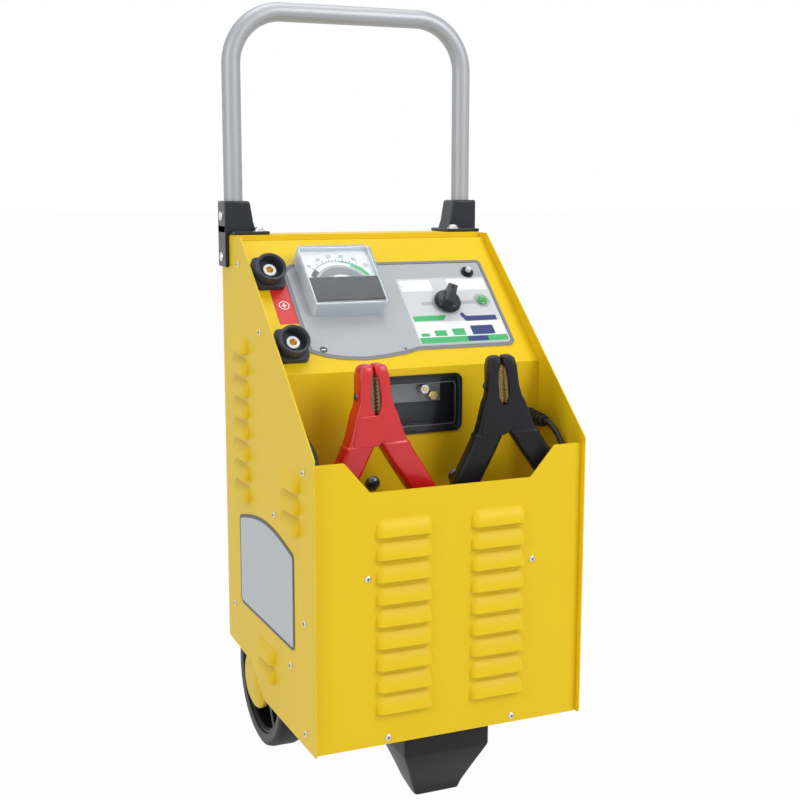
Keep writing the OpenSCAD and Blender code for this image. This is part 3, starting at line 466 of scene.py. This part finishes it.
def lead(name, route, middle, start, mirror, pin, leaving, replaced):
    """A lead from its gland through its coil into the fixed lever of its clamp, with two ties."""
    coil = [(middle[0] + x, middle[1] + y, z) for x, y, z in coil_path(start, mirror)]
    ends = [pin @ (Vector((x, z, 0)) * MM) for x, z in LEVER_TAIL]
    ends = [tuple(v / MM - Vector((0, FACE_Y, LIFT))) for v in ends]
    pts = [at(*p) for p in curve_through(route + coil + leaving + ends, LEAD_STEP)]
    o = cable(name, pts, LEAD_R, RUBBER)
    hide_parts(*replaced)
    y0, y1 = middle[1] + INNER_R, middle[1] + OUTER_R
    outside = rounded([(y0 - 5, BIN_FLOOR + 0.05), (y1 + 5, BIN_FLOOR + 0.05), (y1 + 5, COIL_TOP + 1),
                       (y0 - 5, COIL_TOP + 1)], 4)
    inside = rounded([(y0 - 3.9, BIN_FLOOR + 0.3), (y1 + 3.9, BIN_FLOOR + 0.3), (y1 + 3.9, COIL_TOP),
                      (y0 - 3.9, COIL_TOP)], 3)
    for k, x in enumerate(TIES_AT):
        piece(f"{name}_tie_{k}", ring_prism(outside, inside, -TIE_HALF_W, TIE_HALF_W), RUBBER,
              moved(middle[0] + x, 0, 0, (90, "Z"), (90, "X")), smooth=40)


lead("left_charging_lead", LEFT_ROUTE, LEFT_COIL, -35, False, RED_PIN, LEFT_LEAVING,
     ["left_lead", "left_lead_coil"])
lead("right_charging_lead", RIGHT_ROUTE, RIGHT_COIL, -26, True, BLACK_PIN, RIGHT_LEAVING,
     ["right_lead", "right_lead_coil"])

# ---------- Printed fascia ----------
FASCIA = [(-133, 34), (-112, 24.3), (-90, 19.2), (-61, 16.1), (-30, 18.8), (-4, 22.7), (16, 28), (149, 28),
          (156, 35), (156, 177), (152, 181.5), (-121, 181.5), (-133, 169)]
PRINT_H = 0.08             # thickness of one print
FIELD, OVER, TOPMOST, MARK, MARK_OVER = 0.03, 0.12, 0.22, 0.1, 0.2      # heights of the prints on the plate


def print_on(name, outline, z, material):
    """A flat print on the fascia, z above its plate."""
    piece(name, prism(outline, PLATE_H + z, PLATE_H + z + PRINT_H), material, PANEL, smooth=0)


edge_line = rounded(FASCIA, 4)
inner_line = rounded(inset(FASCIA, 4.2), 3)
light_line = rounded(inset(FASCIA, 4.9), 3)
piece("fascia_border", ring_prism(edge_line, inner_line, PLATE_H + 0.02, PLATE_H + 0.3), GREY, PANEL, smooth=0)
piece("fascia_line", ring_prism(inner_line, light_line, PLATE_H + 0.02, PLATE_H + 0.2), INK, PANEL, smooth=0)
print_on("chart_field", rectangle(20, 151, 36, 150, 3), FIELD, PALE)
print_on("chart_lower_field", rectangle(22, 149, 47, 73, 1), OVER, WHITE)
print_on("chart_top_left", rectangle(23, 68, 127, 147, 2), OVER, WHITE)
print_on("chart_top_right", rectangle(92, 148, 127, 147, 2), OVER, WHITE)
print_on("chart_start_strip", [(24, 75), (66, 75), (72, 84), (24, 84)], OVER, LEAF)
print_on("chart_boost_strip", [(92, 84), (98, 72), (144, 72), (144, 81), (101, 81), (97, 88)], OVER, BLUE)
print_on("chart_base_strip", rectangle(22, 149, 37, 47, 1.5), OVER, LEAF)
print_on("chart_base_part", rectangle(90, 120, 38, 46, 1), TOPMOST, BLUE)
BAR_FOOT = 48.5
# each bar's left side, width and top
CHART_BARS = [(26, 12, 54, LEAF), (46, 17, 58, LEAF), (72, 18, 60, LEAF), (100, 33, 64, BLUE)]
for k, (x, w, top, material) in enumerate(CHART_BARS):
    print_on(f"chart_bar_{k}", rectangle(x, x + w, BAR_FOOT, top, 1), TOPMOST, material)
print_on("lamp_halo", circle(133, 107, 12, 32), OVER, PLATE)
print_on("knob_link_left", rectangle(44, 62, 102, 108, 0.5), OVER, PLATE)
print_on("knob_link_right", rectangle(98, 122, 102, 108, 0.5), OVER, PLATE)
print_on("polarity_left", circle(-113, 36, 5, 24), MARK, INK)
print_on("polarity_left_bar", rectangle(-116, -110, 35.2, 36.8), MARK_OVER, WHITE)
print_on("pointer_left", [(-116, 29), (-113, 25.5), (-110, 29)], MARK, INK)
print_on("pointer_right", [(-6, 32), (-3, 28.5), (0, 32)], MARK, INK)

# ---------- Red strip between the sockets, with its plus sign ----------
STRIP_H = 0.3
PLUS = on(PANEL, -145, 112)
PLUS_BAR, PLUS_HALF_W = 3.5, 0.8                       # half length and half width of the plus's bars
piece("socket_strip", prism(rectangle(-158, -130, 81, 155, 1), 0.02, STRIP_H), SCARLET, PANEL, smooth=0)
piece("plus_ring", ring_prism(circle(0, 0, 7, 32), circle(0, 0, 5.9, 32), STRIP_H, 0.4), WHITE, PLUS, smooth=0)
piece("plus_bar_flat", block(-PLUS_BAR, PLUS_BAR, -PLUS_HALF_W, PLUS_HALF_W, STRIP_H, 0.42), WHITE, PLUS,
      smooth=0)
piece("plus_bar_tall", block(-PLUS_HALF_W, PLUS_HALF_W, -PLUS_BAR, PLUS_BAR, STRIP_H, 0.43), WHITE, PLUS,
      smooth=0)

# ---------- Meter ----------
METER = on(PANEL, -63, 141)
DIAL_H = 16.4              # the dial's face above the control panel
BLOCK_HALF, RIM_HALF, RIM_WALL, COVER_HALF = 47.6, 48.9, 1.2, 50.9
face = piece("meter_face", prism(square(BLOCK_HALF, 3), DIAL_H - 0.8, DIAL_H), DIAL, METER, bevel=0.2)
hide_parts("meter_dial")
# the block's sides and the rim are painted highlight, the light seen in the clear cover's walls
piece("meter_block", prism(square(BLOCK_HALF, 3), 5.4, DIAL_H - 0.9), METER_EDGE_HIGHLIGHT, METER, bevel=0.6)
piece("meter_rim", ring_prism(square(RIM_HALF, 3), square(RIM_HALF - RIM_WALL, 2), 1.3, 22.8), METER_EDGE_HIGHLIGHT, METER,
      smooth=0)
dial = on(METER, 0, -16)   # the needle's pivot
ARC_R = 45.6
ARC_END = 64               # degrees from the middle to an end of the arcs, where the needle rests
SCALE_END = 46             # and to the first and last number
ARCS = [("arc_outer_dark", 38.5, ARC_R, -ARC_END, -SCALE_END, INK),
        ("arc_grey", 36.5, 38, -ARC_END, ARC_END, GREY),
        ("arc_line", 44.8, 45.4, -SCALE_END, 20, INK),
        ("arc_green", 39.5, ARC_R, 26, ARC_END, LEAF),
        ("arc_pale_green", 43.2, ARC_R, 6, 26, LEAF),
        ("arc_shade", 22, 35.5, -ARC_END, ARC_END, GREY)]
for name, r0, r1, a0, a1, material in ARCS:
    piece("meter_" + name, sector(r0, r1, a0, a1, DIAL_H, DIAL_H + 0.12), material, dial, smooth=0)
piece("meter_hub_print", sector(0.1, 20, -ARC_END, ARC_END, DIAL_H, DIAL_H + 0.2), DIAL, dial, smooth=0)
TICKS, LONG_TICK, SHORT_TICK = 17, 4.5, 2.6
for k in range(TICKS):
    a = -SCALE_END + k * 2 * SCALE_END / (TICKS - 1)
    length = SHORT_TICK if k % 2 else LONG_TICK
    tick = sector(ARC_R, ARC_R + length, a - 0.5, a + 0.5, DIAL_H, DIAL_H + 0.1, 1)
    piece(f"meter_tick_{k}", tick, INK, dial, smooth=0)


def number(name, text, size, place):
    """A plain number printed flat at a place."""
    c = bpy.data.curves.new(name, "FONT")
    c.body = text
    c.size = size * MM
    c.align_x = "CENTER"
    c.align_y = "CENTER"
    c.extrude = 0.03 * MM
    o = bpy.data.objects.new(name, c)
    bpy.context.scene.collection.objects.link(o)
    o.matrix_world = place
    c.materials.append(INK)
    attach(o, "charger")


NUMBERS, NUMBER_R, NUMBER_SIZE = 6, ARC_R + 8.5, 7.4
for k in range(NUMBERS):
    a = -SCALE_END + k * 2 * SCALE_END / (NUMBERS - 1)
    x, y = NUMBER_R * math.sin(math.radians(a)), NUMBER_R * math.cos(math.radians(a))
    number(f"meter_number_{k}", str(k * 10), NUMBER_SIZE, turned(on(dial, x, y, DIAL_H + 0.05), -a, "Z"))
# the cover's edge is a painted highlight on the clear cover
piece("meter_cover_edge", ring_prism(square(COVER_HALF, 5), square(COVER_HALF - 1.7, 3.6), 1.25, 2.6), METER_EDGE_HIGHLIGHT,
      METER, smooth=0)

hood = piece("meter_hood", prism(rectangle(-BLOCK_HALF, BLOCK_HALF, -41, -2, 1), 18.6, 21.2), SLATE, METER,
             bevel=0.5)
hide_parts("meter_mask")
HAND = [(-0.9, -9), (0.9, -9), (0.5, 42), (-0.5, 42)]
needle = piece("meter_hand", prism(rounded(HAND, 0.2), 17.2, 17.7), INK, turned(dial, ARC_END, "Z"), "needle",
               smooth=0)
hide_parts("meter_needle")
piece("meter_hand_boss", lathe([(0, 16.9), (4.5, 16.9), (4.5, 17.9), (3.9, 18.3), (0, 18.3)], 32), INK, dial,
      "needle")

# ---------- Sockets ----------
SOCKET_X, SOCKET_BASE, SOCKET_TILT = -156, 11.1, 12
CONTACT_RING = [(5.0, 4.15), (8.6, 4.15), (8.6, 5.4), (7.9, 6), (5.0, 6), (5.0, 4.15)]
DISH_RIM = [(17.6, 13.9), (19.4, 13.9), (19.8, 14.4), (19.4, 15), (18.2, 15.1), (17.3, 14.6), (17.6, 13.9)]
for name, s in (("upper", 160), ("lower", 39)):
    m = turned(on(PANEL, SOCKET_X, s, SOCKET_BASE), SOCKET_TILT, "X")
    piece(f"{name}_contact_ring", lathe(CONTACT_RING), WHITE, m)
    piece(f"{name}_dish_rim", lathe(DISH_RIM), SOCKET, m)

# ---------- Left badge: a bare plate with an arched top ----------
ARCH_STEPS = 12


def arched(x0, x1, y0, y1, rise):
    """An outline with a bowed top edge; the third number of a corner is its radius."""
    top = [(x1 + (x0 - x1) * k / ARCH_STEPS, y1 + rise * math.sin(math.pi * k / ARCH_STEPS))
           for k in range(ARCH_STEPS + 1)]
    return [(x0, y0, 10), (x1, y0, 10)] + [(*top[0], 8)] + top[1:-1] + [(*top[-1], 8)]


# LEFT's X runs towards the front, so a depth counts backwards along it
badge = [(-p[0], *p[1:]) for p in reversed(arched(65, 286, 108, 230, 17))]
BADGE_BORDER, BORDER_H = 4.5, 0.7
piece("left_badge_border", prism(rounded(badge, 4), 0.05, BORDER_H), INK, LEFT, smooth=0)
piece("left_badge_plate", prism(rounded(inset([p[:2] for p in badge], BADGE_BORDER), 4), BORDER_H, 0.9), BADGE,
      LEFT, smooth=0)

# ---------- Selector knob ----------
KNOB = on(PANEL, 80, 104, 4.3)
KNOB_BAR = turned(KNOB, -28, "Z")
SKIRT = [(0, 0.1), (17.9, 0.1), (18.5, 0.8), (18.3, 3), (16.4, 6), (15, 7.6), (13, 8.2), (0, 8.2)]
# slices of the bar: height, half width, half length
BAR_SLICES = ((4, 7.4, 18.2), (12, 6.9, 17.8), (18.4, 6.4, 17.2), (19, 5.8, 16.6))
skirt = piece("knob_skirt", lathe(SKIRT, 64), SATIN, KNOB, "selector", smooth=40)
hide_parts("selector_knob")
bar = loft([[(q.x, q.y, z) for q in rectangle(-w, w, -l, l, 1.6)] for z, w, l in BAR_SLICES])
piece("knob_bar", bar, SATIN, KNOB_BAR, "selector", bevel=0.4, smooth=40)
# painted shade: a flat near-black disc stands for the dimple near the bar's end
piece("knob_dimple_shade", lathe([(0, 19.02), (2.3, 19.02), (2.3, 19.12), (0, 19.12)], 24), RECESS_SHADE, on(KNOB_BAR, 0, 11),
      "selector", smooth=0)

# ---------- Screws: painted shade of the cross recess on each head ---
CROSS_HALF, SLOT_HALF, HEAD_TOP = 1.9, 0.45, 2.35


def cross(name, place):
    for part, half_x, half_y, top in (("a", CROSS_HALF, SLOT_HALF, 0.12), ("b", SLOT_HALF, CROSS_HALF, 0.14)):
        # each arm is a flat near-black block on the head, painted shade of the cross recess
        slot = block(-half_x, half_x, -half_y, half_y, HEAD_TOP, HEAD_TOP + top)
        piece(f"{name}_slot_{part}", slot, RECESS_SHADE, place, smooth=0)


SIDE_SCREWS = [(26, 340), (26, 157), (26, 19), (79, 87), (137, 264), (184, 488), (274, 568), (315, 97)]
FRONT_SCREWS = [(-110.7, 210.5), (110.7, 210.5), (-84.4, 8.5), (84.4, 8.5)]
for k, (y, z) in enumerate(SIDE_SCREWS):
    cross(f"left_screw_{k}", moved(-HALF_W, y, z, (-90, "Y")))
    cross(f"right_screw_{k}", moved(HALF_W, y, z, (90, "Y")))
for k, (x, z) in enumerate(FRONT_SCREWS):
    cross(f"front_screw_{k}", on(FRONT, x, z))

# ---------- Fuse window ----------
cover_edge, cover_inner = rectangle(-60, 60, -27.5, 27.5, 5), rectangle(-59.2, 59.2, -26.7, 26.7, 4.4)
# painted highlight: a thin grey ring stands for the light along the clear fuse cover's edge
piece("fuse_cover_edge_highlight", ring_prism(cover_edge, cover_inner, 4.75, 4.85), GREY, on(WALL, -5, 396), smooth=0)
NUT_R = 7.2
HEX_NUT = [(3.2, -6.6), (NUT_R, -6.6), (NUT_R, -4.4), (NUT_R - 1, -3.4), (3.2, -3.4), (3.2, -6.6)]
for k, (x, z, material) in enumerate(((16, 414, STEEL), (28.6, 405, BRASS))):
    piece(f"fuse_nut_{k}", lathe(HEX_NUT, 6), material, on(WALL, x, z), smooth=0)

# ---------- Clamps ----------
# slices of a lever along Y: Y, inner and outer X, half width along the pin, corner radius
JAW = [(84.0, 2.5, 11.5, 8.5, 3.4), (82.8, 1.0, 14.5, 10.2, 4.5), (80, 0.5, 17, 11.6, 5),
       (75, 0.5, 18.2, 12.2, 5), (71.5, 2.6, 18.6, 12.4, 2.8), (66, 4.6, 18.8, 12.5, 2.6),
       (46, 6.8, 20, 12.6, 2.6), (33, 6.2, 22.8, 12.8, 2.6), (25, 2.6, 26.6, 13, 2.6), (18, 0.6, 28.6, 13, 2.6),
       (10, 0.6, 31, 13, 2.8), (0, 1.5, 34, 13, 3), (-8, 2.6, 37.2, 12.8, 3), (-14, 5.2, 40.2, 12.4, 3)]
GRIP = [(-11, 4.6, 39.2, 12.9, 4), (-12.5, 4.4, 41, 13.8, 5), (-14, 5, 42, 14, 6), (-16.5, 6, 42.4, 13.4, 6),
        (-33, 14.6, 51.6, 13.4, 6.5), (-60, 30.5, 67.2, 13.4, 6.5), (-74, 38.5, 75, 13, 6.5),
        (-82, 44, 74, 11, 6), (-86, 50, 68, 7, 5)]
COVER_PLATE = [(-33, -12), (-2, -14.5, 12), (13, -2, 9), (9, 14, 6), (2, 24, 3), (-24, 24)]
PLATE_IN, PLATE_OUT = 12.6, 14.2                       # faces of a cover plate along the pin
RIVET_BOSS = [(0, -1), (6.8, -1), (6.8, 1.2), (6, 2), (0, 2)]
RIVET = [(0, 1.5), (4.8, 1.5), (4.8, 2.5), (3.9, 3.5), (2.2, 4.1), (0, 4.3)]


def lever(slices, side):
    """A lever's jaw or grip, on the side of the pin that the sign says."""
    rings = []
    for y, inner, outer, half, r in slices:
        line = rounded([(inner, -half), (outer, -half), (outer, half), (inner, half)], r, 4)
        rings.append([(side * p.x, y, p.y) for p in line])
    return loft(rings)


def clamp(colour, pin, material):
    for side, part, body in ((-1, "fixed", "charger"), (1, "moving", f"{colour}_clamp_lever")):
        arm = piece(f"{colour}_{part}_jaw", lever(JAW, side), material, pin, body, smooth=50)
        grip = piece(f"{colour}_{part}_grip", lever(GRIP, side), material, pin, body, smooth=50)
        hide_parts(f"{colour}_{part}_lever")
    for word, z0, z1 in (("back", -PLATE_OUT, -PLATE_IN), ("front", PLATE_IN, PLATE_OUT)):
        plate = prism(rounded(COVER_PLATE, 4, 6), z0, z1)
        piece(f"{colour}_cover_plate_{word}", plate, material, pin, bevel=1.1)
    place = turned(on(pin, -19.6, 47), -90, "Y")
    piece(f"{colour}_rivet_boss", lathe(RIVET_BOSS), material, place)
    piece(f"{colour}_rivet", lathe(RIVET), DARK_STEEL, place)


clamp("red", RED_PIN, RED)
clamp("black", BLACK_PIN, BLACK)
for colour, pin in (("red", RED_PIN), ("black", BLACK_PIN)):
    rod = piece(f"{colour}_clamp_pin", lathe([(0, -12), (3, -12), (3, 12), (0, 12)], 32), STEEL, pin)
    piece(f"{colour}_spring_end", lathe([(0, -8), (2.2, -8), (2.2, 8), (0, 8)], 24), STEEL, on(pin, 9.5, -17.5),
          f"{colour}_clamp_lever")
    if colour == "red":
        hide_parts("clamp_pins")

# ---------- Wheels: profiles of radius and distance out from the tyre's outer face ----------
WHEEL_R, RIM_R, TYRE_W, TYRE_X = 95, 77.1, 40, 161
AXLE_Y, AXLE_Z = 272, 1
SHOULDER_R = 89
TREAD = [(RIM_R, 1 - TYRE_W), (SHOULDER_R, -TYRE_W), (93.6, 2.2 - TYRE_W), (WHEEL_R, 7 - TYRE_W), (WHEEL_R, -7),
         (93.6, -2.2), (SHOULDER_R, 0), (RIM_R, -1), (RIM_R, 1 - TYRE_W)]
TYRE_WALL = [(78, -0.9), (79, -0.5), (87.4, 0.3), (88.6, 0.2), (88.6, -0.6), (78, -0.9)]
HUB_CAP = [(19.5, -6), (37, -5), (41, -2), (42, 1), (42, 4.5), (40.6, 7), (33, 10.6), (30, 11.4), (28.8, 10.8),
           (27.4, 10.8), (26, 11.6), (12, 12), (0, 12)]
for side, word in ((-1, "left"), (1, "right")):
    m = moved(side * TYRE_X, AXLE_Y, AXLE_Z, (90 * side, "Y"))
    body = f"{word}_wheel"
    tyre = piece(f"{word}_tyre_tread", lathe(TREAD, 96), TYRE, m, body, smooth=40)
    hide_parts(f"{word}_tyre")
    piece(f"{word}_tyre_wall", lathe(TYRE_WALL, 96), SIDEWALL, m, body, smooth=40)
    cap = piece(f"{word}_cap", lathe(HUB_CAP, 64), YELLOW, m, body, smooth=40)
    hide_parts(f"{word}_hub_cap")

# ---------- Front foot: slices of height, half width, front and back ----------
FOOT = [(1.4, 58, 8, 98), (0, 58, 8, 98), (-26, 58, 8, 89.5), (-30, 57, 9, 88), (-60, 44, 24, 78),
        (-80, 36, 34, 71.4), (-84, 34, 35.5, 68), (-94, 30, 38, 54)]
foot_slices = [[(q.x, q.y, z) for q in rectangle(-w, w, y0, y1, 4)] for z, w, y0, y1 in FOOT]
foot = piece("foot_moulding", loft(foot_slices), BLACK, BODY, bevel=1.6, smooth=40)
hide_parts("front_foot")

# ---------- Handle brackets ----------
LID = 605                  # top of the body
HANDLE_Y = 330
OUTER_X, LEG_X = -185.4, -180.3                        # outer and inner face of the left bracket's leg
SOCKET_HALF, LEG_HALF = 18, 17                         # half depths
LEG_BOTTOM, LEG_TOP, BLOCK_TOP = LID - 43, LID + 12, LID + 44
FLANGE_TOP, FLANGE_FRONT, FLANGE_BACK = LID + 4.6, 289, 347
BRACKET_BLOCK = [(OUTER_X, LID + 0.2), (-141, LID + 0.2), (-146, LID + 16), (-150, LID + 40),
                 (-151.5, BLOCK_TOP), (OUTER_X, BLOCK_TOP)]
BRACKET_FLANGE = [(-179.5, LID + 0.1), (-131, LID + 0.1), (-131, FLANGE_TOP), (-179.5, FLANGE_TOP)]
BRACKET_LEG = [(OUTER_X, LEG_BOTTOM), (LEG_X, LEG_BOTTOM), (LEG_X, LEG_TOP), (OUTER_X, LEG_TOP)]
DOMED_BOLT = [(0, 0), (6.2, 0), (6.2, 1), (5.4, 2), (3.2, 2.5), (0, 2.6)]
WASHER_BOLT = [(0, 0), (8.5, 0), (8.5, 1.2), (6, 1.3), (6, 4), (4.6, 5.2), (0, 5.4)]


def across(name, side, outline, y0, y1, bevel):
    """An outline in X and Z of the left bracket, mirrored for the right one, from y0 to y1."""
    pts = [(x * -side, z) for x, z in outline]
    return piece(name, prism(pts, -y1, -y0), SATIN, FRONT, bevel=bevel, smooth=40)


for side, word in ((-1, "left"), (1, "right")):
    socket = across(f"{word}_bracket_socket", side, BRACKET_BLOCK, HANDLE_Y - SOCKET_HALF,
                    HANDLE_Y + SOCKET_HALF, 2.6)
    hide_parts(f"{word}_handle_bracket")
    across(f"{word}_bracket_flange", side, BRACKET_FLANGE, FLANGE_FRONT, FLANGE_BACK, 1.2)
    across(f"{word}_bracket_leg", side, BRACKET_LEG, HANDLE_Y - LEG_HALF, HANDLE_Y + LEG_HALF, 1.2)
    for k, z in enumerate((LID - 30, LID + 24)):
        bolt = piece(f"{word}_bracket_bolt_{k}", lathe(DOMED_BOLT, 32), STEEL,
                     moved(side * -OUTER_X, HANDLE_Y, z, (90 * side, "Y")))
    top_bolt = piece(f"{word}_flange_bolt", lathe(WASHER_BOLT, 32), STEEL, moved(side * 143, 299, FLANGE_TOP))
    if side < 0:
        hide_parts("handle_screws")

for name, width in (("fuse_frame", 0.8), ("upper_socket", 0.9), ("lower_socket", 0.9),
                    ("meter_window", 0.7), ("left_rim", 0.8), ("right_rim", 0.8)):
    rounded_edges(node[name], width, 2, 35)


# ---------- Stage, light and camera ----------
SEEN_RAYS = ["Is Camera Ray", "Is Glossy Ray", "Is Transmission Ray"]


def seen_mix(tree, share, lit, seen, output):
    """Shows one shader to lit surfaces and, to the share given, another to the camera and in reflections."""
    nodes, link = tree.nodes, tree.links
    path = nodes.new("ShaderNodeLightPath")
    last = path.outputs[SEEN_RAYS[0]]
    for kind in SEEN_RAYS[1:]:
        top = nodes.new("ShaderNodeMath")
        top.operation = "MAXIMUM"
        link.new(last, top.inputs[0])
        link.new(path.outputs[kind], top.inputs[1])
        last = top.outputs[0]
    scale = nodes.new("ShaderNodeMath")
    scale.operation = "MULTIPLY"
    scale.inputs[1].default_value = share
    mix = nodes.new("ShaderNodeMixShader")
    link.new(last, scale.inputs[0])
    link.new(scale.outputs[0], mix.inputs[0])
    link.new(lit.outputs[0], mix.inputs[1])
    link.new(seen.outputs[0], mix.inputs[2])
    link.new(mix.outputs[0], nodes[output].inputs["Surface"])


world = bpy.data.worlds.new("studio")
bpy.context.scene.world = world
world.use_nodes = True
tree = world.node_tree
tree.nodes["Background"].inputs["Color"].default_value = (0.9, 0.93, 1.0, 1)
tree.nodes["Background"].inputs["Strength"].default_value = 0.5
backdrop = tree.nodes.new("ShaderNodeBackground")
backdrop.inputs["Color"].default_value = (1, 1, 1, 1)
backdrop.inputs["Strength"].default_value = 1
seen_mix(tree, 1, tree.nodes["Background"], backdrop, "World Output")

floor_mat = surface("pale floor", (0.86, 0.86, 0.86), rough=0.9, shade=0.01, patch=0.5, spec=0.1)
tree = floor_mat.node_tree
white = tree.nodes.new("ShaderNodeEmission")
white.inputs["Strength"].default_value = 1
seen_mix(tree, 0.97, tree.nodes["Principled BSDF"], white, "Material Output")
bm = bmesh.new()
bmesh.ops.create_grid(bm, x_segments=1, y_segments=1, size=30)
me = bpy.data.meshes.new("floor")
bm.to_mesh(me)
bm.free()
floor = bpy.data.objects.new("floor", me)
bpy.context.scene.collection.objects.link(floor)
me.materials.append(floor_mat)

MIDDLE = (0, 0, 0.5)       # what the lamps point at


def lamp(name, place, size, power):
    data = bpy.data.lights.new(name, "AREA")
    data.shape = "RECTANGLE"
    data.size, data.size_y = size
    data.energy = power
    o = bpy.data.objects.new(name, data)
    bpy.context.scene.collection.objects.link(o)
    o.location = place
    o.rotation_euler = (Vector(MIDDLE) - Vector(place)).to_track_quat("-Z", "Y").to_euler()


lamp("key", (1.6, -2.6, 2.4), (1.8, 1.8), 54)
lamp("fill", (-2.8, -1.2, 1.6), (1.6, 2.2), 24)
lamp("top", (0, 0.2, 3.2), (2.2, 1.6), 30)

scene = bpy.context.scene
scene.view_settings.view_transform = "Standard"
CAMERA_AT = (-0.68362, -1.58076, 0.76967)
YAW, PITCH, ROLL = 23.67, -9.38, 0.09
LENS = 59.70
cam_data = bpy.data.cameras.new("camera")
cam_data.sensor_width = 36
cam_data.lens = LENS
cam = bpy.data.objects.new("camera", cam_data)
scene.collection.objects.link(cam)
cam.location = CAMERA_AT
cam.rotation_euler = (Matrix.Rotation(math.radians(-YAW), 3, "Z")
                      @ Matrix.Rotation(math.radians(90 + PITCH), 3, "X")
                      @ Matrix.Rotation(math.radians(ROLL), 3, "Z")).to_euler()
scene.camera = cam
